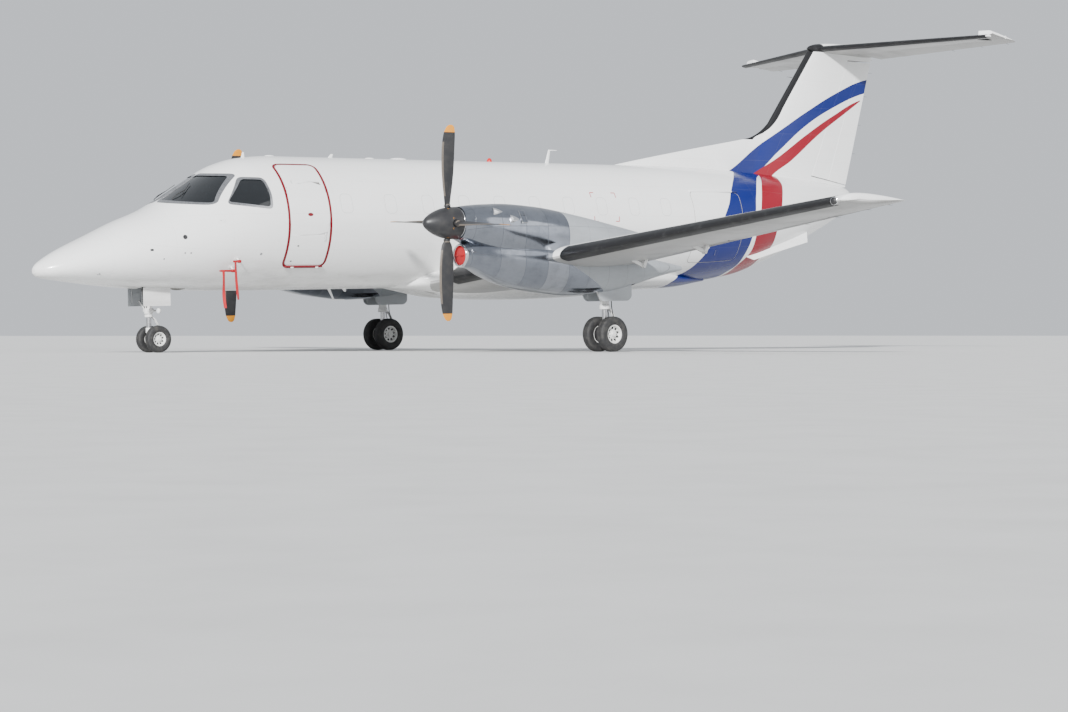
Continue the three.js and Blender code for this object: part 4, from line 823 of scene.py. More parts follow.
@cache
def finish(name):
    """A colour that wanders towards a second one in patches, with a fine grain. Rows: both colours, how fine the
    patches are, roughness, and how metallic it is."""
    tone = colours()
    table = {
        "lining": ((0.42, 0.41, 0.38), (0.30, 0.29, 0.27), 6.0, 0.65, 0.0),
        "dark": ((0.016, 0.016, 0.018), (0.04, 0.038, 0.035), 16.0, 0.5, 0.0),
        "blade": (tone.blade, (0.045, 0.043, 0.040), 7.0, 0.42, 0.0),
        "tan": ((0.15, 0.125, 0.10), (0.08, 0.07, 0.06), 14.0, 0.45, 0.0),
        "yellow": (tone.tip, (0.55, 0.27, 0.03), 12.0, 0.4, 0.0),
        "steel": ((0.50, 0.50, 0.51), (0.28, 0.28, 0.29), 12.0, 0.28, 1.0),
        "lip": ((0.72, 0.72, 0.73), (0.5, 0.5, 0.51), 8.0, 0.14, 1.0),
        "burnt": ((0.16, 0.12, 0.10), (0.05, 0.045, 0.05), 9.0, 0.45, 1.0),
        "wheel": ((0.74, 0.74, 0.72), (0.40, 0.39, 0.37), 14.0, 0.38, 0.0),
        "cover": (tone.cover, (0.26, 0.008, 0.012), 9.0, 0.55, 0.0),
        "door_line": (tone.door_red, tone.door_red, 9.0, 0.4, 0.0),
        "amber": ((0.85, 0.30, 0.02), (0.6, 0.2, 0.02), 10.0, 0.2, 0.0),
        "lamp_red": ((0.6, 0.01, 0.01), (0.4, 0.01, 0.01), 10.0, 0.15, 0.0),
        "lamp_clear": ((0.75, 0.77, 0.78), (0.55, 0.57, 0.58), 30.0, 0.08, 0.0),
        "leather": ((0.07, 0.075, 0.085), (0.04, 0.043, 0.05), 18.0, 0.6, 0.0),
        "engine": ((0.20, 0.20, 0.21), (0.07, 0.06, 0.055), 7.0, 0.5, 0.8),
    }
    base, second, scale, rough, metallic = table[name]
    made, net = material(name)
    mask = net.times(net.ramp(net.noise(net.spot(), scale, 5.0, 0.6), 0.38, 0.72), 0.5)
    grain = net.noise(net.spot(), 60.0, 4.0, 0.6)
    dress(net, bump=grain, bump_distance=0.0006, bump_strength=0.5, base_color=net.mix(mask, base, second),
          roughness=net.plus(rough, net.times(net.minus(grain, 0.5), 0.3)), metallic=metallic)
    return made


@cache
def glass():
    """Dark tinted glass with faint smears."""
    made, net = material("tinted_glass")
    smear = net.ramp(net.noise(net.spot(), 7.0, 4.0), 0.45, 0.8)
    dress(net, base_color=net.mix(smear, (0.016, 0.024, 0.032), (0.03, 0.04, 0.048)),
          roughness=net.plus(0.02, net.times(smear, 0.05)), transmission_weight=0.85, ior=1.5, coat_weight=0.5,
          coat_roughness=0.02)
    return made


@cache
def tyre_rubber():
    """Worn tyre rubber, dusty on the side and rubbed on the tread."""
    made, net = material("tyre_rubber")
    dust = net.ramp(net.noise(net.spot(), 14.0, 6.0, 0.65), 0.42, 0.78)
    grain = net.noise(net.spot(), 160.0, 3.0)
    dress(net, bump=grain, bump_distance=0.0008, bump_strength=0.6,
          base_color=net.mix(net.times(dust, 0.5), (0.018, 0.018, 0.019), (0.10, 0.095, 0.085)),
          roughness=net.plus(0.68, net.times(dust, 0.2)))
    return made


@cache
def streamer_cloth():
    """Red woven ribbon."""
    made, net = material("streamer_cloth")
    where = net.spot()
    parts = net.add("ShaderNodeSeparateXYZ", {0: where}).outputs
    weave = net.group(rivet_dots(), across=parts[0], up=parts[2], pitch=0.003, size=0.0012)
    fade = net.ramp(net.noise(where, 8.0, 4.0), 0.4, 0.75)
    base = net.mix(net.times(fade, 0.5), (0.42, 0.001, 0.006), (0.26, 0.001, 0.005))
    dress(net, bump=weave["Dots"], bump_distance=0.0005, bump_strength=0.4, base_color=base,
          roughness=net.plus(0.7, net.times(fade, 0.1)), sheen_weight=0.2)
    return made


@cache
def white_leg():
    return plain_paint("white_leg", (0.76, 0.76, 0.75), 0.34, (0.20, 0.18, 0.16), 0.4, 0.31)


@cache
def grey_door():
    return plain_paint("grey_door", colours().grey, 0.36, (0.12, 0.11, 0.10), 0.4, 0.3)


@cache
def white_paint():
    return plain_paint("white_paint", colours().white, 0.26, (0.35, 0.34, 0.32), 0.22, 0.62)


# Fuselage. Columns: station, top, bottom, half width, height of the widest line

tube_at = table_curve([
    [0, -735, -815, 40, -775], [40, -680, -860, 110, -772], [150, -600, -895, 230, -760],
    [420, -450, -935, 400, -720], [1000, -195, -1010, 640, -610], [1500, 25, -1062, 790, -520],
    [2000, 215, -1095, 905, -430], [2300, 370, -1108, 960, -370], [3050, 815, -1130, 1065, -200],
    [3400, 985, -1136, 1100, -110], [3800, 1090, -1139, 1128, -40], [4400, 1140, -1140, 1140, 0],
    [12900, 1140, -1140, 1140, 0], [13700, 1135, -1134, 1132, 10], [15000, 1090, -1012, 1050, 90],
    [16000, 1030, -733, 890, 220], [17000, 960, -362, 660, 370], [18000, 870, 50, 400, 490],
    [18500, 790, 290, 240, 550], [18730, 660, 440, 100, 552],
])
RADOME_END = 1060
NOSE_END = 3950
CENTRE_END = 12750
TAIL_END = 18730
OUTSIDE, INSIDE = 0, 1
passenger_door = {"from": 4150, "to": 4924, "low": -745, "high": 955, "corner": 110}
cargo_door = {"from": 13300, "to": 14600, "low": -750, "high": 600, "corner": 90}
deck = {"from": 2060, "to": 3890, "skin": 60}


def tube(stations, grow=0.0, finish=OUTSIDE):
    sides = sizes().tube_sides
    return ring_form([oval_ring(s, 0, tube_at(s), grow, 2, sides) for s in stations], finish)


def tube_hollow(start, end, floor=FLOOR, skin=WALL, step=200):
    """The room inside the tube between two stations, above its floor."""
    return meet(tube(spaced(start, end, step), -skin, INSIDE),
                Form().box((start - 10, -1300, floor), (end + 10, 1300, 1300), finish=INSIDE))


def wall_cutter(door, grow, low_slope, high_slope, depth=(-640, 340)):
    """A cutter with round corners through the port wall. The slopes are its lower and its upper edge's lean."""
    low, high = (CABIN_RADIUS * asin(door[key] / CABIN_RADIUS) for key in ("low", "high"))
    outline = rounded_outline(door["to"] - door["from"] + 2 * grow, high - low + 2 * grow, door["corner"] + grow)
    rings = []
    for reach in depth:
        ring = []
        for across, up in outline:
            turn = ((low + high) / 2 + up) / CABIN_RADIUS
            lean = lerp(low_slope, high_slope, (up + (high - low) / 2) / (high - low))
            ring.append(at((door["from"] + door["to"]) / 2 + across, CABIN_RADIUS * cos(turn) + reach * cos(lean),
                           CABIN_RADIUS * sin(turn) + reach * sin(lean)))
        rings.append(ring)
    return ring_form(rings, INSIDE)


def passenger_cutter(grow):
    return wall_cutter(passenger_door, grow, 0.0, asin(passenger_door["high"] / CABIN_RADIUS))


def cargo_cutter(grow):
    return wall_cutter(cargo_door, grow, *(asin(cargo_door[key] / CABIN_RADIUS) for key in ("low", "high")))


def windshield_hole(side, grow):
    """The outline is drawn from the front. It ends a post's width ahead of the side window."""
    corners = [(side * (28 - grow), 365 - grow), (side * (28 - grow), 800 + grow), (side * (625 + grow), 768 + grow),
               (side * (868 + grow), 282 - grow)]
    hole = Form().prism(rounded_polygon(corners, 60 + grow), "x", 2150, 3450, INSIDE)
    return carve(hole, side_window_hole(side, 70 - grow))


def side_window_hole(side, grow):
    corners = [(3059 - grow, 300 - grow), (3413 - grow, 712 + grow), (3790 + grow, 700 + grow), (3828 + grow, 450),
               (3800 + grow, 215 - grow)]
    return Form().prism(rounded_polygon(corners, 60 + max(grow, 0)), "y", side * 450, side * 1300, INSIDE)


def nose_tip():
    """Rings that close the nose in a round point."""
    rings = []
    middle = at(0, 0, -775)
    for share in (0.06, 0.3, 0.55, 0.78, 0.93):
        ring = oval_ring(14 * (1 - sqrt(1 - share * share)), 0, tube_at(14), 0, 2, sizes().tube_sides)
        shift = Vector((ring[0].x, 0, 0))
        rings.append([shift + Vector((0, (p.y - middle.y) * share, middle.z + (p.z - middle.z) * share))
                      for p in ring])
    return rings


class AIRLINER_OT_fuselage(bpy.types.Operator):
    """Radome, nose, cabin tube and tail cone, with their hollows and doorways"""
    bl_idname = "airliner.fuselage"
    bl_label = "Fuselage"

    def execute(self, context):
        skins = [skin_paint(), finish("lining")]
        sides = sizes().tube_sides
        rings = nose_tip() + [oval_ring(s, 0, tube_at(s), 0, 2, sides)
                              for s in (14, 25, 40, 60, 90, 120, *spaced(150, RADOME_END, 65))]
        Form().loft(rings).piece("radome_skin", [skin_paint()], "airframe", "radome_shell", ["radome"])

        doorway = Form().box((3860, -300, FLOOR), (4060, 300, 950), finish=INSIDE)
        deck_room = tube_hollow(deck["from"], deck["to"], skin=deck["skin"], step=90)
        bay = Form().box((1800, -260, -1200), (2620, 260, -800), finish=INSIDE)
        windows = [hole(side, 0) for _, side in SIDES for hole in (windshield_hole, side_window_hole)]
        nose = carve(tube(spaced(RADOME_END + SEAM, NOSE_END, 55)), deck_room, doorway, bay, *windows)
        nose.piece("nose_skin", skins, "airframe", "white_paint", ["nose_fuselage"])

        entry = tube_hollow(4040, 5060)
        rear_cabin = tube_hollow(10400, CENTRE_END + 10)
        stations = [*spaced(NOSE_END + SEAM, 4400, 75), *spaced(4650, CENTRE_END, 250)]
        hull = carve(tube(stations), entry, doorway, rear_cabin, passenger_cutter(5))
        for station in (4290, 4784):
            hull.block(at(station, 905, -775), SQUARE, (22, 90, 26), 4, INSIDE)
        hull.piece("cabin_skin", skins, "airframe", "white_paint", ["centre_fuselage"])

        hold = tube_hollow(CENTRE_END + 150, 15300, cargo_door["low"])
        tail_room = tube(spaced(15380, 17600, 200), -WALL, INSIDE)
        bulkhead_door = Form().box((15280, -280, -300), (15400, 280, 500), finish=INSIDE)
        cabin_way = Form().box((CENTRE_END - 20, -280, -700), (CENTRE_END + 170, 280, 900), finish=INSIDE)
        tail = carve(tube([*spaced(CENTRE_END + SEAM, 18400, 110), *spaced(18450, TAIL_END, 30)]), hold, tail_room,
                     bulkhead_door, cabin_way, cargo_cutter(10))
        tail.piece("tail_skin", skins, "airframe", "white_paint", ["aft_fuselage"])
        return {"FINISHED"}


def skin_shell(stations, outer, inner):
    """The layer of the tube between two distances from its skin."""
    inside = [stations[0] - 12, *stations[1:-1], stations[-1] + 12]
    return carve(tube(stations, outer), tube(inside, inner))


def wiper(word, side):
    """An arm from its spindle below the glass, and a blade lying on the pane."""
    spindle = on_nose(2395, side * 300, 10)
    knee = on_nose(2560, side * 330, 34)
    ends = [on_nose(2480, side * 420, 20), on_nose(2760, side * 235, 20)]
    form = Form().tube([on_nose(2395, side * 300, -10), spindle, spindle.lerp(knee, 0.5) + Vector((0, 0, 8)),
                        ends[0].lerp(ends[1], 0.5)], 7)
    form.tube([ends[0].lerp(ends[1], t) for t in (0, 0.33, 0.66, 1)], 5)
    form.piece(f"wiper_{word}", [finish("dark")], "airframe", "panel_plastic")


class AIRLINER_OT_flight_deck_windows(bpy.types.Operator):
    """Windshields and side windows of the flight deck, their frames and the wipers"""
    bl_idname = "airliner.flight_deck_windows"
    bl_label = "Flight deck windows"

    def execute(self, context):
        stations = spaced(2150, 3900, 50)
        for word, side in SIDES:
            for label, hole, node in (("windshield", windshield_hole, f"windshield_{word}"),
                                      ("side_window", side_window_hole, f"side_window_{word}")):
                pane = meet(skin_shell(stations, -9, -24), hole(side, -SEAM))
                pane.piece(f"{label}_pane_{word}", [glass()], "airframe", "window_glass", [node])
                trim = carve(meet(skin_shell(stations, 3.5, -14), hole(side, 26)), hole(side, -14))
                trim.piece(f"{label}_frame_{word}", [finish("steel")], "airframe", "bare_metal")
            wiper(word, side)
        return {"FINISHED"}


def on_nose(station, port, out):
    """A point over the upper skin at a distance from the middle, raised off it."""
    top, _, half, widest = tube_at(station)
    share = min(abs(port) / half, 0.999)
    return at(station, port, widest + (top - widest) * sqrt(1 - share * share) + out)


def on_side(station, height, out=0.0):
    """A point of the port skin at a height, pushed out by a distance."""
    top, bottom, half, widest = tube_at(station)
    share = (height - widest) / (top - widest if height > widest else widest - bottom)
    return at(station, (half + out) * sqrt(max(0.0, 1 - share * share)), height + out * share)


def skin_frame(station, height):
    """Directions at a point of the port skin: aft along it, up along it, and straight out."""
    aft = (on_side(station + 5, height) - on_side(station - 5, height)).normalized()
    up = (on_side(station, height + 5) - on_side(station, height - 5)).normalized()
    out = aft.cross(up).normalized()
    return aft, up, out if out.y > 0 else -out


class AIRLINER_OT_flight_deck(bpy.types.Operator):
    """Padded chairs and the instrument panel's finish"""
    bl_idname = "airliner.flight_deck"
    bl_label = "Flight deck"

    def execute(self, context):
        for word, side in SIDES:
            y = side * 440
            base = Form().box((3160, y - 130, FLOOR + SEAM), (3460, y + 130, -470), 14)
            base.box((3090, y - 222, -478), (3550, y + 222, -440), 10)
            base.piece(f"chair_frame_{word}", [finish("dark")], "airframe", "chair_cloth", [f"cockpit_chair_{word}"])
            seat = cushion([(3085, -442), (3555, -442), (3560, -362), (3085, -358)], y, 222)
            back = cushion([(3500, -360), (3606, -360), (3738, 296), (3640, 296)], y, 212)
            head = cushion([(3640, 306), (3728, 306), (3728, 436), (3644, 436)], y, 118)
            for label, form in (("seat", seat), ("back", back), ("headrest", head)):
                pad = form.piece(f"chair_{label}_{word}", [finish("leather")], "airframe", "chair_cloth", sharp=80)
        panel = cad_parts["instrument_panel"]
        panel.data.materials.clear()
        panel.data.materials.append(finish("dark"))
        return {"FINISHED"}


def cushion(corners, middle, half):
    """A pad over a four-cornered side view, crowned and drawn in along its seams."""
    centre = Vector(corners[0]).lerp(Vector(corners[2]), 0.5)
    rings = []
    for across in (-1, -0.94, -0.8, -0.5, -0.2, 0, 0.2, 0.5, 0.8, 0.94, 1):
        size = (1 - abs(across) ** 6) ** 0.5 * 0.14 + 0.86 if abs(across) < 1 else 0.72
        outline = rounded_polygon([tuple(centre + (Vector(c) - centre) * size) for c in corners], 40)
        rings.append([at(s, middle + across * half, z) for s, z in outline])
    return ring_form(rings)


def passenger_leaf():
    wall = carve(tube(spaced(4000, 5100, 100)), tube(spaced(3990, 5110, 100), -WALL, INSIDE))
    door = meet(wall, passenger_cutter(0))
    hinge = [at(s, 876, -757) for s in (4160, 4914)]
    door.bar(*hinge, 17, round_edge=3, finish=4)
    turn = radians(130)
    inward = Vector((0, cos(turn), sin(turn)))
    for i in range(5):
        height = -560 + 300 * i
        inner = sqrt((CABIN_RADIUS - WALL) ** 2 - height ** 2)
        foot = at(4537, inner + 20, height)
        door.block(foot + inward * 75, (AHEAD, inward, AHEAD.cross(inward)), (552, 226, 34), 8, 3)
        for s in (4255, 4819):
            start = at(s, inner + 10, height)
            door.bar(start, start + inward * 170, 9, finish=2)
    for s in (4215, 4860):
        rail = [at(s, sqrt(1015 ** 2 - h * h) - 34, h) for h in spaced(-560, 700, 140)]
        door.tube([at(s, rail[0].y + 60, -590), *rail, at(s, rail[-1].y + 40, 742)], 11, finish=2)
    door_handle(door, 4852, -270, 46, 150)
    door_handle(door, 4300, 655, 30, 60)
    door.piece("passenger_door_leaf", [skin_paint(), finish("lining"), finish("steel"), finish("dark"),
                                       finish("door_line")], "airstair_door", "white_paint", ["passenger_door"])


def door_handle(form, station, height, width, tall):
    """A flush handle: a dark recess plate with a grip on it."""
    aft, up, out = skin_frame(station, height)
    middle = on_side(station, height, 0.5)
    form.block(middle, (aft, up, out), (width, tall, 3), 1.2, 3)
    form.block(middle + out * 4, (aft, up, out), (width * 0.45, tall * 0.8, 7), 2.5, 2)


def cargo_leaf():
    wall = carve(tube(spaced(13200, 14700, 110)), tube(spaced(13190, 14710, 110), -WALL, INSIDE))
    door = meet(wall, cargo_cutter(0))
    hinge = [on_side(s, 606, 4) for s in (13310, 14590)]
    door.bar(*hinge, 20, round_edge=3, finish=0)
    door_handle(door, 13960, -560, 60, 130)
    door.piece("cargo_door_leaf", [skin_paint(), finish("lining"), finish("steel"), finish("dark")], "freight_door",
               "white_paint", ["cargo_door"])


class AIRLINER_OT_doors(bpy.types.Operator):
    """Passenger door with its steps, and the cargo door"""
    bl_idname = "airliner.doors"
    bl_label = "Doors"

    def execute(self, context):
        passenger_leaf()
        cargo_leaf()
        return {"FINISHED"}


# Aerofoils

SECTION_POINTS = 22


def thickness_share(x):
    return 5 * (0.2969 * sqrt(x) - 0.126 * x - 0.3516 * x * x + 0.2843 * x ** 3 - 0.1015 * x ** 4)


def camber_share(x):
    """Height of the forward-loaded camber line, as a share of the chord."""
    bend = 0.2025
    scale = 15.957 / 6
    if x < bend:
        return scale * (x ** 3 - 3 * bend * x * x + bend * bend * (3 - bend) * x)
    return scale * bend ** 3 * (1 - x)


def section(thickness, camber, place_point):
    """A ring from the trailing edge over the top to the nose and back underneath."""
    shares = [0.5 * (1 + cos(pi * i / SECTION_POINTS)) for i in range(SECTION_POINTS + 1)]
    return [place_point(x, camber * camber_share(x) + way * thickness * thickness_share(x)) for way,
            row in ((1, shares), (-1, shares[-2::-1])) for x in row]


# Wing

WING_ROOT = 350
WING_LAST = 9830
WING_TIP = 9890
wing_tip_rows = [(9850, 0.93), (9868, 0.8), (9882, 0.58), (WING_TIP, 0.3)]
flap_rows = [
    {"name": "flap_inner", "from": 1290, "to": 2820, "share": 0.74, "drop": 130, "hinges": (0.2, 0.8)},
    {"name": "flap_outer", "from": 3780, "to": 6300, "share": 0.74, "drop": 110, "hinges": (0.2, 0.8)},
]
aileron_row = {"from": 6340, "to": 9560, "share": 0.77}
RUNNING_GAP = 6
NOSE_SIDES = 36


def wing_chord(y):
    return 2810 - 0.1426 * y


def wing_thickness(y):
    return 0.18 - 0.06 * y / WING_TIP


def section_point(side, y, x, rise):
    chord = wing_chord(y)
    tilt = 0.035 * (1 - y / WING_TIP)
    return at(9070 - 0.66 * chord + chord * (x * cos(tilt) + rise * sin(tilt)), side * y, -1120 + 0.1145 * y
              + chord * (rise * cos(tilt) - x * sin(tilt)))


def along_wing(y):
    return (y - WING_ROOT) / (WING_LAST - WING_ROOT)


def wing_point(side, y, x, rise):
    """Every line along the wing is straight between its two end sections."""
    return section_point(side, WING_ROOT, x, rise).lerp(section_point(side, WING_LAST, x, rise), along_wing(y))


def middle_line(side, y, share):
    return wing_point(side, y, share, camber_share(share))


def half_thickness(y, share):
    inner, outer = (wing_chord(end) * wing_thickness(end) for end in (WING_ROOT, WING_LAST))
    return lerp(inner, outer, along_wing(y)) * thickness_share(share)


def wing_ring(side, y, slim):
    return section(wing_thickness(y) * slim, 1, lambda x, rise: wing_point(side, y, 0.5
            + (x - 0.5) * (0.5 + 0.5 * slim), rise))


def wing_body(side):
    rows = [(y, 1.0) for y in spaced(WING_ROOT, WING_LAST, 1200)] + wing_tip_rows
    return ring_form([wing_ring(side, y, slim) for y, slim in rows])


def behind_wing(side, share, inner, outer, shift=0.0, finish=INSIDE):
    """The room behind a share of the chord."""
    rings = []
    for y in (inner, outer):
        front = wing_point(side, y, share, 0)
        rings.append([Vector((front.x - shift + dx, side * y, front.z + dz)) for dx,
                      dz in ((0, 600), (-1400, 600), (-1400, -600), (0, -600))])
    return ring_form(rings, finish)


def slab(ends, grow):
    """A slab across the wing between two points of a hinge line, square to that line."""
    along = (ends[1] - ends[0]).normalized()
    deep = (AHEAD - along * along.x).normalized()
    size = ((ends[1] - ends[0]).length + 2 * grow, 6000, 2000)
    return Form().block(ends[0].lerp(ends[1], 0.5), (along, deep, along.cross(deep)), size, finish=INSIDE)


def nose_ends(side, row, beyond=0):
    return [(middle_line(side, y, row["share"]), half_thickness(y, row["share"]))
            for y in (row["from"] - beyond, row["to"] + beyond)]


def nose_bar(ends, grow=0.0, finish=0):
    (start, first), (end, last) = ends
    return Form().bar(start, end, first + grow, last + grow, NOSE_SIDES, finish=finish)


def moving_strip(side, row, hinge_ends):
    """A moving surface with its round nose, cut square to its hinge line."""
    strip = meet(wing_body(side), behind_wing(side, row["share"], row["from"] - 100, row["to"] + 100, finish=0))
    return meet(join(strip, nose_bar(nose_ends(side, row, 100))), slab(hinge_ends, 0))


def flap_hinge(side, row):
    """A flap's hinge lies below its nose."""
    return [point + Vector((radius, 0, -radius - row["drop"])) for point, radius in nose_ends(side, row)]


def one_wing(word, side):
    body = wing_body(side)
    paint = [wing_paint(), finish("dark"), finish("steel")]
    for row in flap_rows:
        ends = flap_hinge(side, row)
        room = meet(behind_wing(side, row["share"], row["from"] - 200, row["to"] + 200,
                                -half_thickness(row["from"], row["share"]) - RUNNING_GAP), slab(ends, RUNNING_GAP))
        body = carve(body, room)
        flap = moving_strip(side, row, ends)
        flap_brackets(body, flap, ends, row)
        flap.piece(f"{row['name']}_skin_{word}", paint, f"{word}_{row['name'].split('_')[1]}_flap", "white_paint",
                   [f"{row['name']}_{word}"])
    ends = [point for point, _ in nose_ends(side, aileron_row)]
    cove = join(behind_wing(side, aileron_row["share"], aileron_row["from"] - 200, aileron_row["to"] + 200, -2),
                nose_bar(nose_ends(side, aileron_row, 100), RUNNING_GAP + 4, INSIDE))
    body = carve(body, meet(cove, slab(ends, RUNNING_GAP)))
    aileron = moving_strip(side, aileron_row, ends)
    wicks(aileron, side, (7600, 8300, 9000, 9450))
    aileron.piece(f"aileron_skin_{word}", paint, f"{word}_aileron", "white_paint", [f"aileron_{word}"])
    body.piece(f"wing_skin_{word}", paint, "airframe", "white_paint", [f"wing_{word}"])
    tip_light(word, side)


def flap_brackets(body, flap, ends, row):
    """Cheeks on the flap and a tapered arm on the wing, on one pin."""
    along = (ends[1] - ends[0]).normalized()
    for share in row["hinges"]:
        pin = ends[0].lerp(ends[1], share)
        for cheek in (-25, 25):
            top = pin + Vector((-90, 0, row["drop"] + 60)) + along * cheek
            bracket_plate(flap, pin + along * cheek, top, along, 14, 30, 60)
        flap.bar(pin - along * 34, pin + along * 34, 9, finish=2)
        root = pin + Vector((420, 0, row["drop"] + 90))
        bracket_plate(body, pin, root, along, 24, 28, 80)


def bracket_plate(form, pin, root, along, thick, radius, wide):
    """A flat arm that is round about its pin and wide at its root."""
    up = root - pin
    up -= along * up.dot(along)
    reach = up.length
    up.normalize()
    deep = along.cross(up)
    outline = [(radius * sin(a), -radius * cos(a)) for a in (radians(d) for d in range(-90, 91, 15))]
    outline += [(wide / 2, reach), (-wide / 2, reach)]
    form.loft([[pin + along * (t * thick / 2) + deep * a + up * b for a, b in outline] for t in (-1, 1)])


def wicks(form, side, spans):
    """Thin discharge wicks off the trailing edge."""
    for y in spans:
        start = wing_point(side, y, 0.99, 0)
        form.bar(start, start + Vector((-130, 0, -4)), 3, 1.5, 8, finish=1)


def tip_light(word, side):
    """A round lamp behind a domed lens, in a bright ring on the leading edge outboard of the boot."""
    edge = wing_point(side, 9700, 0.0, 0)
    ahead = Vector((0.94, 0.34 * side, -0.06)).normalized()
    start = edge - ahead * 20
    form = Form().turned(start, ahead, [(-70, 30), (-40, 52), (14, 62), (24, 60), (27, 54), (18, 48)], 40, 1)
    form.turned(start, ahead, [(16, 50), (28, 44), (37, 28), (40, 10), (40.5, 2)], 40)
    form.piece(f"tip_light_{word}", [finish("dark"), finish("lip")], "airframe", "window_glass")


class AIRLINER_OT_wings(bpy.types.Operator):
    """Wings with their flaps, ailerons, hinge brackets, tip lights and discharge wicks"""
    bl_idname = "airliner.wings"
    bl_label = "Wings"

    def execute(self, context):
        for word, side in SIDES:
            one_wing(word, side)
        return {"FINISHED"}


# Belly fairing and ventral fins

fairing_at = table_curve([
    [6900, -1060, -1142, 250, -1100], [7300, -800, -1200, 760, -1000], [8070, -700, -1335, 1060, -960],
    [9600, -650, -1390, 1130, -960], [10900, -700, -1365, 1090, -960], [12500, -780, -1252, 860, -1000],
    [13400, -940, -1222, 600, -1060], [14300, -1000, -1114, 260, -1080],
])
# Ventral fins. Columns: station, side and height at the skin, then the same at the outer edge
strake_rows = [(14962, 781, -634, 15105, 866, -706), (15766, 710, -454, 15909, 772, -536),
               (16962, 476, -141, 16779, 678, -360)]
STRAKE_ROOTED = 200


def ventral_plate(row, side):
    """A cut through a ventral fin, thin at its outer edge."""
    skin, edge = at(row[0], side * row[1], row[2]), at(row[3], side * row[4], row[5])
    inner = skin + (skin - edge).normalized() * STRAKE_ROOTED
    thick = (skin - edge).cross(AHEAD).normalized()
    near = edge.lerp(skin, 0.12)
    return [inner + thick * 14, near + thick * 8, edge + thick * 3, edge - thick * 3, near - thick * 8,
            inner - thick * 14]


class AIRLINER_OT_belly(bpy.types.Operator):
    """Fairing under the wing, and the two fins under the tail"""
    bl_idname = "airliner.belly"
    bl_label = "Belly and ventral fins"

    def execute(self, context):
        rings = [oval_ring(s, 0, fairing_at(s), 0, 2.4, 80) for s in spaced(6900, 14300, 130)]
        Form().loft(rings).piece("belly_fairing_skin", [skin_paint()], "airframe", "white_paint", ["belly_fairing"])
        rows_at = table_curve([[i, *row] for i, row in enumerate(strake_rows)])
        for word, side in SIDES:
            Form().loft([ventral_plate(rows_at(t), side) for t in spaced(0, 2,
                    0.08)]).piece(f"ventral_fin_skin_{word}", [white_paint()], "airframe", "white_paint",
                                  [f"ventral_fin_{word}"])
        return {"FINISHED"}


# Fin and rudders. Columns: height, nose station, tail station, thickness

RUDDER_FLOOR = 800
RUDDER_TOP = 3400
FIN_TOP = 3560
FORWARD_HINGE, AFT_HINGE = 0.63, 0.81
fin_at = table_curve([[RUDDER_FLOOR, 15415, 18605, 330], [FIN_TOP, 17563, 19481, 180]])
dorsal_at = table_curve([[12290, 1150, 30], [13150, 1303, 70], [14470, 1524, 105], [15560, 1700, 125],
                         [15860, 1754, 128], [16150, 1880, 128], [16420, 2090, 120], [16700, 2450, 60]])


def fin_ring(height):
    nose, tail, thickness = fin_at(height)
    chord = tail - nose
    return section(thickness / chord, 0, lambda x, rise: at(nose + chord * x, chord * rise, height))


def fin_line(height, share):
    nose, tail, _ = fin_at(height)
    return at(nose + (tail - nose) * share, 0, height)


def fin_half(height, share):
    return fin_at(height)[2] * thickness_share(share)


def fin_whole():
    return ring_form([fin_ring(z) for z in spaced(RUDDER_FLOOR, FIN_TOP, 300)])


def behind_fin(share, finish=0):
    rings = []
    for height in (RUDDER_FLOOR, FIN_TOP):
        front = fin_line(height, share).x
        rings.append([Vector((front + dx, dy, height)) for dx,
                      dy in ((0, 400), (-2500, 400), (-2500, -400), (0, -400))])
    return ring_form(rings, finish)


def fin_nose(share, grow=0.0, finish=0):
    low, high = RUDDER_FLOOR, RUDDER_TOP + 80
    return Form().bar(fin_line(low, share), fin_line(high, share), fin_half(low, share) + grow, fin_half(high, share)
                      + grow, NOSE_SIDES, finish=finish)


def rudder_zone(below, above, finish=0):
    """The rudders' part of the fin, with a gap under their sloping base and one over their top."""
    corners = [(s, 1035 - below - 0.15 * (s - 17400)) for s in (15000, 20500)]
    top = RUDDER_TOP + above
    return Form().prism([*corners, (20500, top), (15000, top)], "y", -500, 500, finish)


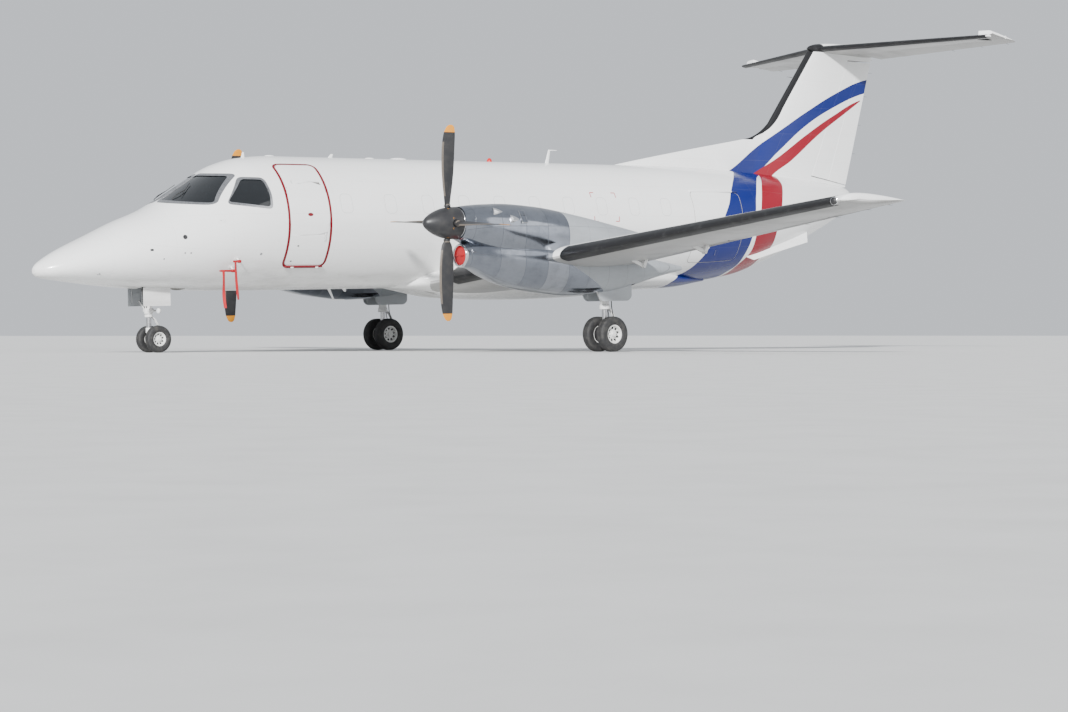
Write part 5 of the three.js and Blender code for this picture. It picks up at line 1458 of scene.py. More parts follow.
class AIRLINER_OT_fin(bpy.types.Operator):
    """Fin with its dorsal fillet, and the two rudders, one hinged on the other"""
    bl_idname = "airliner.fin"
    bl_label = "Fin and rudders"

    def execute(self, context):
        paint = [fin_paint(), finish("dark"), finish("steel")]
        rings = []
        for s in spaced(12290, 16700, 90):
            top, half = dorsal_at(s)
            shape = [(t, lerp(700, top - 34, 1 - t * t)) for t in (1, 0.85, 0.7, 0.55, 0.4)]
            port = [(lerp(20, half, t), z) for t, z in shape] + [(16, top - 16), (8, top - 4), (0, top)]
            rings.append([at(s, y, z) for y, z in port] + [at(s, -y, z) for y, z in port[-2::-1]])
        body = join(fin_whole(), ring_form(rings))
        cove = join(behind_fin(FORWARD_HINGE, 1), fin_nose(FORWARD_HINGE, RUNNING_GAP, 1))
        carve(body, meet(cove, rudder_zone(17, 26, 1))).piece("fin_skin", paint, "airframe", "white_paint", ["fin"])

        forward = meet(join(meet(fin_whole(), behind_fin(FORWARD_HINGE)), fin_nose(FORWARD_HINGE)), rudder_zone(0, 0))
        forward = carve(forward, join(behind_fin(AFT_HINGE, 1), fin_nose(AFT_HINGE, RUNNING_GAP, 1)))
        forward.piece("rudder_forward_skin", paint, "forward_rudder", "white_paint", ["rudder_forward"])
        aft = meet(join(meet(fin_whole(), behind_fin(AFT_HINGE)), fin_nose(AFT_HINGE)), rudder_zone(0, 0))
        for height in (1500, 2100, 2700, 3200):
            start = fin_line(height, 0.995)
            aft.bar(start, start + Vector((-120, 0, 0)), 3, 1.5, 8, finish=1)
        aft.piece("rudder_aft_skin", paint, "aft_rudder", "white_paint", ["rudder_aft"])
        return {"FINISHED"}


# Tailplane. Columns: distance from the middle, nose station, tail station, thickness

TAIL_HEIGHT = 3625
tail_at = table_curve([[0, 17790, 19640, 185], [3470, 19018, 20000, 88]])
elevator_row = {"from": 130, "to": 3470, "share": 0.62, "horn_from": 3190, "horn_share": 0.2}
ELEVATOR_DROOP = 0.2
bullet_at = table_curve([[17560, 14], [17640, 60], [17850, 104], [18400, 132], [19100, 128], [19560, 96], [19860, 50],
                         [19960, 12]])
tail_tip_rows = [(3400, 1.0), (3430, 0.9), (3450, 0.75), (3462, 0.58), (3470, 0.4)]


def tail_point(y, x, rise):
    nose, tail, _ = tail_at(abs(y))
    return at(nose + (tail - nose) * x, y, TAIL_HEIGHT + (tail - nose) * rise)


def tail_ring(y, slim=1.0):
    nose, tail, thickness = tail_at(abs(y))
    return section(slim * thickness / (tail - nose), 0, lambda x,
                   rise: tail_point(y, 0.5 + (x - 0.5) * (0.6 + 0.4 * slim), rise))


def tail_half(side, stations):
    """One half of the tailplane through distances from its middle, with its tip."""
    rows = [(y, 1.0) for y in stations] + tail_tip_rows
    return ring_form([tail_ring(side * y, slim) for y, slim in rows])


def tail_behind(side, share, start, end, ahead=0.0, finish=0):
    rings = []
    for y in (start, end):
        front = tail_point(side * y, share, 0).x + ahead
        rings.append([Vector((front + dx, side * y, TAIL_HEIGHT + dz)) for dx,
                      dz in ((0, 300), (-1600, 300), (-1600, -300), (0, -300))])
    return ring_form(rings, finish)


def bullet_row(station):
    radius, = bullet_at(station)
    return TAIL_HEIGHT + radius, TAIL_HEIGHT - 0.9 * radius, radius, TAIL_HEIGHT


class AIRLINER_OT_tailplane(bpy.types.Operator):
    """Tailplane on its bullet fairing, and the elevators"""
    bl_idname = "airliner.tailplane"
    bl_label = "Tailplane and elevators"

    def execute(self, context):
        paint = [tailplane_paint(), finish("dark"), finish("steel")]
        halves = [tail_half(side, (0.02, *spaced(400, 3000, 500))) for side in (1, -1)]
        body = join(*halves, ring_form([tail_ring(60), tail_ring(-60)]),
                    ring_form([oval_ring(s, 0, bullet_row(s), 0, 2, 48) for s in spaced(17560, 19960, 60)]))
        row = elevator_row
        for word, side in SIDES:
            radius = [tail_at(y)[2] * thickness_share(row["share"]) for y in (row["from"], row["to"])]
            pivots = [tail_point(side * y, row["share"], 0) for y in (row["from"], row["to"])]
            near = tail_point(side * (row["from"] - 14), row["share"], 0)
            far = tail_point(side * (row["to"] + 5), row["share"], 0)
            body = carve(body, tail_behind(side, row["share"], row["from"] - 14, row["to"] + 30, finish=1),
                         Form().bar(near, far, radius[0] + 6, radius[1] + 6, NOSE_SIDES, finish=1),
                         tail_behind(side, row["horn_share"], row["horn_from"] - 14, row["to"] + 30, 30, 1))
            stations = spaced(row["from"], 3400, 500)[:-1]
            strip = join(meet(tail_half(side, stations), tail_behind(side, row["share"], row["from"], row["to"])),
                         Form().bar(*pivots, *radius, NOSE_SIDES))
            horn = meet(tail_half(side, stations), tail_behind(side, row["horn_share"], row["horn_from"], row["to"]))
            strip = join(strip, horn)
            for y in (1900, 2600, 3200):
                start = tail_point(side * y, 0.985, 0)
                strip.bar(start, start + Vector((-110, 0, 0)), 3, 1.5, 8, finish=1)
            turn = Matrix.Rotation(side * -ELEVATOR_DROOP, 4, pivots[1] - pivots[0])
            droop = Matrix.Translation(pivots[0]) @ turn @ Matrix.Translation(-pivots[0])
            bmesh.ops.transform(strip.mesh, matrix=droop, verts=strip.mesh.verts[:])
            strip.piece(f"elevator_skin_{word}", paint, f"{word}_elevator", "white_paint", [f"elevator_{word}"])
        body.piece("tailplane_skin", paint, "airframe", "white_paint", ["tailplane"])
        return {"FINISHED"}


# Nacelles. Columns as for the fuselage

ENGINE_SIDE, ENGINE_HEIGHT = 3290, -113
cowl_at = table_curve([
    [5950, 157, -383, 270, -113], [6100, 176, -450, 345, -130], [6400, 200, -600, 440, -180],
    [6800, 212, -760, 500, -230], [7500, 172, -820, 520, -290], [8400, 30, -820, 500, -360],
    [9500, -185, -780, 380, -450], [10150, -320, -640, 190, -480],
])
chin_at = table_curve([
    [6030, -452, -832, 190, -642], [6200, -400, -870, 270, -640], [6450, -360, -988, 370, -660],
    [6900, -330, -1150, 465, -700], [7340, -330, -1236, 500, -740], [8280, -400, -1331, 480, -860],
    [8990, -500, -1312, 440, -900], [9600, -600, -1200, 350, -930], [10300, -740, -1040, 200, -900],
    [10900, -850, -930, 50, -890],
])
wheel_bay = {"from": 8720, "to": 9660, "side": 215, "roof": -1020}
INTAKE = {"radius": 160, "height": -642, "lip": 6030}
EXHAUST_RADIUS = 130


def nacelle_shell(curve, stations, middle, grow=0.0, finish=0):
    """A shell of the cowl or of its chin about a middle line."""
    return ring_form([oval_ring(s, middle, curve(s), grow, 2.3, 72) for s in stations], finish)


def nacelle(word, middle):
    cowl = nacelle_shell(cowl_at, spaced(5950, 10150, 70), middle)
    chin = nacelle_shell(chin_at, spaced(6030, 10900, 80), middle)
    hollow = nacelle_shell(cowl_at, spaced(5950, 7400, 90), middle, -40, 1)
    mouth = Form().bar(at(6120, middle, ENGINE_HEIGHT), at(5900, middle, ENGINE_HEIGHT), 240, sides=64, finish=1)
    bay = Form().box((wheel_bay["from"], middle - wheel_bay["side"], -1500),
                     (wheel_bay["to"], middle + wheel_bay["side"], wheel_bay["roof"]), finish=1)
    pipe = Form().bar(at(10200, middle, -480), at(9650, middle, -440), EXHAUST_RADIUS, sides=48, finish=1)
    duct = Form().bar(at(6000, middle, INTAKE["height"]), at(6450, middle, INTAKE["height"]), INTAKE["radius"],
                      sides=48, finish=1)
    body = carve(join(cowl, chin), hollow, mouth, bay, pipe, duct)
    lip = [(30 * cos(radians(a)) * 1.3, 176 - 22 * sin(radians(a))) for a in range(0, 360, 24)]
    body.hoop(at(INTAKE["lip"] + 4, middle, INTAKE["height"]), AHEAD, lip, finish=2)
    rim = [(12 * cos(radians(a)), 248 + 12 * sin(radians(a))) for a in range(0, 360, 30)]
    body.hoop(at(5950, middle, ENGINE_HEIGHT), AHEAD, rim, finish=2)
    stub = [(0, 124), (90, 124), (110, 118), (110, 126), (100, 130), (0, 130)]
    body.hoop(at(10150, middle, -480), -AHEAD, stub, 48, 3)
    for side in (1, -1):
        scoop(body, middle, 6420, 60, side)
        scoop(body, middle, 6700, -60, side)
        vent(body, middle, side)
    body.piece(f"nacelle_skin_{word}", [cowl_metal(), finish("dark"), finish("lip"), finish("burnt")], "airframe",
               "bare_metal", [f"nacelle_{word}"])


def on_cowl(middle, station, height, side, out=0.0):
    """A point of a cowl's skin at a height, pushed out by a distance."""
    top, bottom, half, widest = cowl_at(station)
    share = (height - widest) / (top - widest if height > widest else widest - bottom)
    return at(station, middle + side * ((half + out) * (1 - abs(share) ** 2.3) ** (1 / 2.3)), height)


def scoop(form, middle, station, height, side):
    """A small raised scoop that opens forward and tapers aft."""
    rings = []
    for along, wide, proud in ((0, 62, 34), (14, 66, 38), (60, 58, 32), (130, 34, 16), (190, 8, 2)):
        base = on_cowl(middle, station + along, height, side, -4)
        out = Vector((0, side, 0.15))
        up = Vector((0, -0.15 * side, 1))
        rings.append([base + out * proud * max(0.0, cos(a)) ** 0.6 + up * wide * sin(a)
                      for a in (radians(d) for d in range(-90, 91, 15))])
    form.loft(rings, 2)


def vent(form, middle, side):
    """A raised upright panel with three dark slots."""
    for along, height, tall, wide, proud, kind in ((0, -20, 230, 120, 6, 2), (-28, 20, 56, 34, 9, 1),
                                                   (26, 20, 56, 34, 9, 1), (0, -60, 40, 90, 9, 1)):
        base = on_cowl(middle, 6990 + along, height, side)
        above = on_cowl(middle, 6990 + along, height + 40, side)
        up = (above - base).normalized()
        aft = (on_cowl(middle, 7020 + along, height, side) - base).normalized()
        out = aft.cross(up).normalized()
        form.block(base, (aft, up, out), (wide, tall, 2 * proud), 4, kind)


class AIRLINER_OT_nacelles(bpy.types.Operator):
    """Engine cowls with their intake lips, scoops, vents, exhausts and wheel bays"""
    bl_idname = "airliner.nacelles"
    bl_label = "Nacelles"

    def execute(self, context):
        for word, side in SIDES:
            nacelle(word, side * ENGINE_SIDE)
            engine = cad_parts[f"engine_{word}"]
            engine.data.materials.clear()
            engine.data.materials.append(finish("engine"))
        return {"FINISHED"}


# Propellers. Columns: radius, chord, thickness, twist in degrees from feathered, sweep aft

PROPELLER_STATION = 5761.5
PROPELLER_TURNS = {"left": -0.05, "right": -0.12}
blade_at = table_curve([
    [100, 84, 84, 0, 0], [270, 90, 78, 14, 0], [360, 170, 52, 20, 0], [620, 245, 32, 13, 0],
    [900, 272, 23, 6, 0], [1200, 262, 16, 0, 6], [1450, 225, 11, -4, 26], [1600, 120, 6, -6, 52],
])
spinner_at = table_curve([[-165, 268], [-60, 263], [60, 250], [220, 203], [370, 128], [455, 60], [478, 20], [480, 2]])


def blade_directions(number):
    """Out along a blade, and square to it round the hub."""
    turn = number * pi / 2
    return Vector((0, sin(turn), cos(turn))), Vector((0, cos(turn), -sin(turn)))


def blades_and_hub(word, turned):
    collar = [(0, 250), (8, 250), (12, 128), (250, 122), (268, 102)]
    form = Form().turned(Vector((-158, 0, 0)), AHEAD, collar, 48, 1)
    form.turned(Vector((-389, 0, 0)), AHEAD, [(0, 60), (232, 60)], 32, 1)
    points = 28
    radii = [*spaced(100, 360, 22), *spaced(400, 1560, 40), 1580, 1594, 1600]
    for number in range(4):
        out, round_way = blade_directions(number)
        rings = []
        for radius in radii:
            chord, thickness, twist, sweep = blade_at(radius)
            if radius > 1560:
                chord *= sqrt(max(0.15, 1 - ((radius - 1560) / 42) ** 2))
            pitch = radians(twist)
            lens = min(1.0, max(0.0, (radius - 270) / 250))
            ring = []
            for i in range(points):
                angle = (i + 0.5) / points * 2 * pi
                share = cos(angle)
                bulge = sin(angle) * lerp(1.0, abs(sin(angle)) ** 0.35 * (1 + 0.25 * share), lens)
                along = share * chord / 2 - sweep
                across = bulge * thickness / 2
                ring.append(out * radius + AHEAD * (along * cos(pitch) - across * sin(pitch))
                            + round_way * (along * sin(pitch) + across * cos(pitch)))
            rings.append(ring)

        def paint(ring, point):
            if radii[ring] > 1600 - sizes().tip_band * 1000:
                return 3
            edge = point < 3 or point > points - 5
            return 2 if edge and 400 < radii[ring] < 1300 else 0

        form.loft(rings, paint=paint)
        for low, high, radius, kind in ((120, 176, 64, 1), (262, 292, 56, 4), (296, 312, 52, 2)):
            form.bar(out * low, out * high, radius, sides=40, round_edge=5, finish=kind)
    form.piece(f"propeller_skin_{word}", [finish("blade"), finish("steel"), finish("tan"), finish("yellow"),
                                          finish("dark")], f"{word}_propeller", "blade_paint", [f"propeller_{word}"],
               place_by=turned)


def spinner(word, turned):
    outside = [(x, spinner_at(x)[0]) for x in spaced(-165, 480, 15)]
    inside = [(440, 2), (350, 116), (215, 190), (60, 238), (-145, 256), (-165, 256)]
    shell = Form().hoop(Vector(), AHEAD, [(x, max(r, 0.6)) for x, r in outside + inside], 96)
    outs = [blade_directions(number)[0] for number in range(4)]
    shell = carve(shell, *[Form().bar(out * 150, out * 330, 62, sides=48, finish=1) for out in outs])
    for number in range(4):
        out, round_way = blade_directions(number)
        for sign in (1, -1):
            flat = (out * 236 + round_way * sign * 84).normalized()
            shell.block(flat * 252.5 + AHEAD * 22, (AHEAD, AHEAD.cross(flat), flat), (58, 24, 5), 2, 2)
    shell.piece(f"spinner_skin_{word}", [finish("blade"), finish("dark"), finish("yellow")], f"{word}_propeller",
                "blade_paint", [f"spinner_{word}"], place_by=turned)


class AIRLINER_OT_propellers(bpy.types.Operator):
    """Feathered propellers and their spinners"""
    bl_idname = "airliner.propellers"
    bl_label = "Propellers"

    def execute(self, context):
        for word, side in SIDES:
            hub = at(PROPELLER_STATION, side * ENGINE_SIDE, ENGINE_HEIGHT)
            turned = AIRFRAME @ Matrix.Translation(hub) @ Matrix.Rotation(PROPELLER_TURNS[word], 4, "X")
            blades_and_hub(word, turned)
            spinner(word, turned)
        return {"FINISHED"}


# Covered probes. Columns: station, height, length of the hood, streamer from its rear end, length of the streamer
probe_rows = [(3142, -755, 300, 235, 620), (3197, -618, 170, 125, 640)]


def intake_plug(word, middle):
    """A padded red plug that bulges a little, with a stitched rim and two grips."""
    start = at(INTAKE["lip"] + 90, middle, INTAKE["height"])
    profile = [(-90, 150), (-86, 156), (50, 157), (66, 156), (74, 150), (78, 140), (82, 136), (88, 118), (98, 86),
               (106, 44), (109, 6)]
    form = Form().turned(start, AHEAD, profile, 64)
    stitched = [(70 + 6 * cos(radians(a)), 148 + 6 * sin(radians(a))) for a in range(0, 360, 45)]
    form.hoop(start, AHEAD, stitched, 64, 1)
    for sign in (1, -1):
        arch = [start + Vector((100 + 34 * sin(radians(a)), sign * 60 + 34 * cos(radians(a)), 0))
                for a in range(-10, 191, 20)]
        form.tube(arch, 7, 10, 1)
    form.piece(f"intake_plug_{word}", [finish("cover"), finish("cover")], "airframe", "red_cover",
               [f"intake_cover_{word}"])


def covered_probes():
    replaced = ["pitot_covers"]
    for number, (station, height, long, knot, hang) in enumerate(probe_rows):
        aft, up, out = skin_frame(station, height)
        root = on_side(station, height)
        tip = on_side(station, height, 105)
        word = ("low", "high")[number]
        form = Form().block(root, (aft, up, out), (110, 60, 6), 2.5)
        form.bar(root, tip, 15, 11, 20, 2)
        form.tube([tip, tip + AHEAD * 45, tip + AHEAD * 150], 9, 16)
        form.piece(f"probe_{word}", [white_paint()], "airframe", "white_paint")
        hood_at = table_curve([[0, 14], [8, 25], [50, 27], [80, 19], [long - 60, 16], [long - 20, 15], [long - 4, 10],
                               [long, 3]])
        hood = Form().turned(tip + at(20, 0, 0), AHEAD, [(x, hood_at(x)[0]) for x in spaced(0, long, 8)], 28)
        hood.piece(f"probe_hood_{word}", [finish("cover")], "airframe", "red_cover")
        middle = tip + at(20 - knot, 0, 0)
        streamer = ribbon(middle, hang, number)
        made = streamer.piece(f"streamer_{word}", [streamer_cloth()], "airframe", "streamer_cloth", replaced, 80)
        replaced = []


def ribbon(top, hang, number):
    """A ribbon that folds over its hood and hangs with a slow twist and a few waves."""
    rings = []
    half, thick = 25, 0.6
    for t in (i / 60 for i in range(61)):
        drop = hang * t
        twist = (0.5 if number else -0.7) * t * t + 0.25 * sin(5 * t + number)
        sway = 16 * t * sin(3.6 * t + 2 * number) - (28 * t * t if number else 12 * t)
        middle = top + Vector((sway, 6 * sin(7 * t) + 22, 12 - drop))
        across = Vector((cos(twist), sin(twist), 0))
        normal = Vector((-sin(twist), cos(twist), 0))
        ring = [middle + across * half * u + normal * (3 * (1 - u * u) * sin(9 * t) + thick)
                for u in (-1, -0.6, -0.2, 0.2, 0.6, 1)]
        ring += [point - normal * 2 * thick for point in reversed(ring)]
        rings.append(ring)
    return ring_form(rings)


class AIRLINER_OT_covers(bpy.types.Operator):
    """Intake plugs, and the covered probes with their streamers"""
    bl_idname = "airliner.covers"
    bl_label = "Covers and streamers"

    def execute(self, context):
        for word, side in SIDES:
            intake_plug(word, side * ENGINE_SIDE)
        covered_probes()
        return {"FINISHED"}


# Landing gear

nose_wheel = {"station": 2150, "radius": 222.5, "width": 140, "rim": 115, "spacing": 300, "axle": 22}
main_wheel = {"station": 9120, "radius": 305, "width": 184, "rim": 160, "spacing": 370, "axle": 35}
TRAIL = 82


def axle_height(wheel):
    return (wheel["radius"] - DATUM_Z * 1000 - wheel["station"] * sin(NOSE_DOWN)) / cos(NOSE_DOWN)


def wheel_pair(prefix, wheel, middle, body, words):
    hubs = Form()
    sign = -1 if middle < 0 else 1
    centre = at(wheel["station"], middle, axle_height(wheel))
    reach = wheel["spacing"] / 2
    for word, way in zip(words, (1, -1)):
        out = Vector((0, way * sign, 0))
        wheel_hub(hubs, centre + out * reach, out, wheel)
        tyre(centre + out * reach, out, wheel).piece(f"{prefix}_tyre_skin_{word}", [tyre_rubber()], body,
                                                     "tyre_rubber", [f"{prefix}_tyre_{word}"], 40)
    across = Vector((0, 1, 0))
    hubs.bar(centre - across * reach, centre + across * reach, wheel["axle"], finish=1)
    hubs.piece(f"{prefix}_hubs", [finish("wheel"), finish("steel"), finish("dark")], body, "wheel_metal",
               [f"{prefix}_wheel_hubs"])


def wheel_hub(form, centre, out, wheel):
    """A dished wheel with rims, a ring of holes, a bolt circle, a cap, and a brake behind it."""
    rim, half = wheel["rim"], wheel["width"] * 0.36
    dish = Form().hoop(centre, out, [(-half, rim - 14), (-half, rim), (-half + 10, rim), (-half + 20, rim - 5),
                                     (half - 20, rim - 5), (half - 10, rim), (half, rim), (half, rim - 8),
                                     (half - 6, rim * 0.86), (half * 0.35, rim * 0.78), (half * 0.2, rim * 0.62),
                                     (half * 0.45, rim * 0.4), (half * 0.45, 5), (half * 0.1, 5), (0, rim * 0.5),
                                     (0, rim * 0.82), (-half + 8, rim - 18)], 72)
    holes = []
    side = out.orthogonal().normalized()
    other = out.cross(side)
    for i in range(9):
        turn = 2 * pi * i / 9
        spot = centre + (side * cos(turn) + other * sin(turn)) * rim * 0.66
        holes.append(Form().bar(spot - out * half, spot + out * half, rim * 0.135, sides=16, finish=2))
    data = bpy.data.meshes.new("part")
    carve(dish, *holes).mesh.to_mesh(data)
    form.mesh.from_mesh(data)
    for i in range(9):
        turn = 2 * pi * (i + 0.5) / 9
        spot = centre + (side * cos(turn) + other * sin(turn)) * rim * 0.5
        form.bar(spot + out * half * 0.1, spot + out * (half * 0.42 + 5), rim * 0.045, sides=6, finish=1)
    cap = [(half * 0.3, rim * 0.3), (half * 0.75, rim * 0.3), (half * 0.86, rim * 0.26), (half * 0.9, rim * 0.1)]
    form.turned(centre, out, cap, 32, 0)
    brake = [(-half * 1.05, rim * 0.62), (-half, rim * 0.78), (-half * 0.2, rim * 0.78), (-half * 0.1, rim * 0.6)]
    form.turned(centre, out, brake, 40, 2)


def tyre(centre, out, wheel):
    """A tyre with round shoulders and four grooves."""
    radius, half, rim = wheel["radius"], wheel["width"] / 2, wheel["rim"]
    tall = radius - rim
    side = [(0.70, 0.0), (0.80, 0.03), (0.92, 0.14), (0.99, 0.34), (1.0, 0.5), (0.97, 0.66), (0.90, 0.8), (0.79, 0.9),
            (0.66, 0.965)]
    profile = [(half * a, rim + tall * r) for a, r in side]
    groove = half * 0.045
    for place_at in (0.5, 0.17, -0.17, -0.5):
        crown = radius - tall * 0.03 * abs(place_at)
        a = half * place_at
        profile += [(a + groove, crown), (a + groove * 0.7, crown - 5), (a - groove * 0.7, crown - 5),
                    (a - groove, crown)]
    profile += [(-half * a, rim + tall * r) for a, r in reversed(side)]
    return Form().hoop(centre, out, profile, 96)


class AIRLINER_OT_wheels(bpy.types.Operator):
    """Tyres, and the hubs on their axles"""
    bl_idname = "airliner.wheels"
    bl_label = "Wheels"

    def execute(self, context):
        wheel_pair("nose", nose_wheel, 0, "nose_wheels", ("left", "right"))
        for word, side in SIDES:
            wheel_pair(f"main_{word}", main_wheel, side * ENGINE_SIDE, f"main_wheels_{word}", ("outboard", "inboard"))
        return {"FINISHED"}


class AIRLINER_OT_nose_gear(bpy.types.Operator):
    """Nose leg with its braces and lamps, the steered fork, and the doors of the bay"""
    bl_idname = "airliner.nose_gear"
    bl_label = "Nose gear"

    def execute(self, context):
        rear = nose_wheel["station"]
        s = rear - TRAIL
        axle = axle_height(nose_wheel)
        leg = Form().post(s, 0, -800, -1500, 58, 6).post(s, 0, -1404, -1498, 74, 8).post(s, 0, -1180, -1230, 70, 8)
        leg.tube([at(2560, 0, -829), at(2400, 0, -1080), at(s, 0, -1330)], 24, 20)
        leg.axle(2560, 0, 120, -827, 26, 4).axle(s, 0, 170, -861, 38, 5)
        for sign in (1, -1):
            leg.tube([at(s - 40, sign * 40, -900), at(s - 74, sign * 56, -1100), at(s - 66, sign * 40, -1300),
                      at(s - 50, sign * 34, -1420)], 8, 10, 1)
            leg.bar(at(s - 10, sign * 70, -1452), at(s - 40, sign * 238, -1285), 11, sides=16)
            leg.bar(at(s + 66, sign * 202, -1450), at(s + 104, sign * 202, -1450), 50, 34, round_edge=4)
            lens = [(0, 46), (8, 46), (16, 38), (22, 20), (24, 3)]
            leg.turned(at(s + 66, sign * 202, -1450), AHEAD, lens, 32, 2)
        leg.bar(at(s + 90, 200, -1450), at(s + 90, -200, -1450), 15, sides=20)
        leg.bar(at(s, 0, -1450), at(s + 92, 0, -1450), 20, sides=20)
        leg.block(at(s, 0, -1440), SQUARE, (110, 190, 56), 14)
        leg.piece("nose_leg", [white_leg(), finish("dark"), finish("lamp_clear")], "airframe", "white_paint",
                  ["nose_gear_leg"])

        fork = Form().post(s, 0, -1440, axle + 118, 42, finish=1)
        fork.post(s, 0, -1506, -1552, 66, 7).post(s, 0, axle + 190, axle + 96, 52, 8)
        fork.tube([at(s, 0, axle + 128), at(s + 30, 0, axle + 78), at(rear, 0, axle)], 44, 28)
        fork.axle(rear, 0, 70, axle, 48, 5)
        for sign in (1, -1):
            side = sign * 19
            fork.tube([at(s + 40, side, -1528), at(s + 120, side, -1600), at(s + 172, side * 0.6, -1690)], 11, 12)
            fork.tube([at(s + 172, side * 0.6, -1690), at(s + 140, side, -1790), at(s + 74, side, -1872)], 11, 12)
        fork.axle(s + 172, 0, 30, -1690, 14, 2, 1)
        fork.piece("nose_fork", [white_leg(), finish("steel")], "nose_steering", "white_paint", ["nose_gear_fork"])

        for word, side in SIDES:
            door = Form()
            panel = rounded_polygon([(1834, -1066), (2336, -1066), (2336, -1370), (1834, -1370)], 10)
            door.prism(panel, "y", side * 246, side * 259)
            for s0 in (1900, 2080, 2270):
                door.block(at(s0, side * 238, -1190), SQUARE, (16, 14, 240), 3, 1)
                door.bar(at(s0 - 20, side * 252, -1062), at(s0 + 20, side * 252, -1062), 9, finish=1)
            # Painted shade: the far, starboard door takes the darker grey, while the port door keeps the white.
            paint = white_leg() if side > 0 else grey_door()
            door.piece(f"nose_door_{word}", [paint, finish("wheel")], "airframe", "white_paint",
                       [f"nose_gear_door_{word}"])
        return {"FINISHED"}


def main_leg(word, y):
    s = main_wheel["station"]
    axle = axle_height(main_wheel)
    roof = wheel_bay["roof"]
    form = Form().post(s, y, roof, -1580, 78, 6).post(s, y, -1500, -1582, 92, 9).post(s, y, -1300, -1350, 88, 8)
    form.post(s, y, -1560, axle, 50, finish=1).post(s, y, axle + 120, axle, 66, 7).axle(s, y, 86, axle, 66, 7)
    form.tube([at(8800, y, roof - 34), at(8970, y, -1270), at(s - 40, y, -1480)], 30, 24)
    form.axle(8800, y, 120, roof - 34, 30, 4).axle(s, y, 150, roof - 60, 48, 6)
    for sign in (1, -1):
        side = y + sign * 24
        form.tube([at(s + 60, side, -1535), at(s + 150, side, -1620), at(s + 212, y + sign * 12, -1735)], 14, 14)
        form.tube([at(s + 212, y + sign * 12, -1735), at(s + 140, side, -1850), at(s + 36, side, -1975)], 14, 14)
        form.tube([at(s + 60, y + sign * 50, -1100), at(s + 96, y + sign * 60, -1300),
                   at(s + 110, y + sign * 56, -1540), at(s + 150, y + sign * 58, -1760),
                   at(s + 60, y + sign * 60, -1930)], 9, 10, 2)
    form.axle(s + 212, y, 34, -1735, 17, 3, 1)
    form.piece(f"main_leg_{word}", [white_leg(), finish("steel"), finish("dark")], "airframe", "white_paint",
               [f"main_gear_leg_{word}"])


def main_doors(word, side):
    for label, way in (("outer", 1), ("inner", -1)):
        y = side * (ENGINE_SIDE + way * 207.7)
        away = side * way
        panel = rounded_polygon([(8812, -1062), (9558, -1062), (9558, -1380), (9480, -1443), (8890, -1443),
                                 (8812, -1380)], 50)
        door = Form().prism(panel, "y", y - 6.5, y + 6.5)
        for s0 in (8900, 9185, 9470):
            door.block(at(s0, y - away * 13, -1240), SQUARE, (20, 14, 300), 3, 1)
            door.bar(at(s0 - 26, y, -1062), at(s0 + 26, y, -1062), 10, finish=1)
        door.piece(f"main_door_{label}_{word}", [grey_door(), finish("wheel")], "airframe", "grey_paint",
                   [f"main_gear_door_{label}_{word}"])


class AIRLINER_OT_main_gear(bpy.types.Operator):
    """Main legs with their links, braces and hoses, and the doors of their bays"""
    bl_idname = "airliner.main_gear"
    bl_label = "Main gear"

    def execute(self, context):
        for word, side in SIDES:
            main_leg(word, side * ENGINE_SIDE)
            main_doors(word, side)
        return {"FINISHED"}


# Small fittings on the roof and the nose

def aerial_mast():
    """A leaning post with a cross-piece at its top."""
    form = Form()
    foot, top = at(10600, 0, 1136), at(10665, 0, 1385)
    rings = []
    for t in (0, 0.1, 0.5, 0.9, 1):
        middle = foot.lerp(top, t)
        rings.append([middle + Vector((cos(a) * lerp(46, 26, t), sin(a) * lerp(10, 7, t), 0)) for a in circle(20)])
    form.loft(rings)
    form.bar(top + at(-24, 0, 0), top + at(180, 0, 0), 10, 7, round_edge=4)
    form.piece("aerial_mast", [white_paint()], "airframe", "white_paint")


def blade_aerial(form, station, tall, long, lean, base=None):
    """A thin swept blade on the roof, or on a base below the tube."""
    foot = tube_at(station)[0] - 4 if base is None else base
    rings = []
    for t in (0, 0.25, 0.6, 0.88, 0.97, 1):
        size = lerp(1, 0.5, t) * (0.55 if t == 1 else 0.85 if t == 0.97 else 1)
        middle = at(station + lean * tall * t, 0, foot + tall * t)
        rings.append([middle + Vector((cos(a) * long / 2 * size, sin(a) * 6 * size, 0)) for a in circle(20)])
    form.loft(rings)


def dome(form, station, radius, tall, finish_number, stretch=1.0):
    foot = tube_at(station)[0]
    rings = []
    for t in (0, 0.2, 0.45, 0.7, 0.88, 0.97):
        size = sqrt(1 - t * t)
        rings.append([at(station + stretch * radius * size * cos(a), radius * size * sin(a), foot - 5 + tall * t)
                      for a in circle(28)])
    form.loft(rings, finish_number)


def roof_and_belly():
    form = Form()
    dome(form, 9240, 50, 74, 2)
    blade_aerial(form, 3950, 96, 70, lean=0.1)
    blade_aerial(form, 5720, 70, 100, lean=0.7)
    dome(form, 4480, 60, 26, 0, 1.7)
    dome(form, 6560, 60, 26, 0, 1.7)
    dome(form, 7180, 110, 34, 0, 1.6)
    form.piece("roof_aerials", [white_paint(), finish("amber"), finish("lamp_red")], "airframe", "white_paint")
    belly = Form()
    blade_aerial(belly, 5640, -196, 64, lean=-0.5, base=-1134)
    belly.bar(at(5700, 0, -1326), at(5960, 0, -1328), 9, 7, round_edge=4)
    blade_aerial(belly, 5960, -52, 90, lean=-0.4, base=-1134)
    belly.piece("belly_aerials", [white_paint()], "airframe", "white_paint")
    vane = Form().bar(at(17110, 0, 3010), at(16960, 0, 3020), 7, 5, 12, 1)
    vane.piece("fin_vane", [finish("steel")], "airframe", "bare_metal")


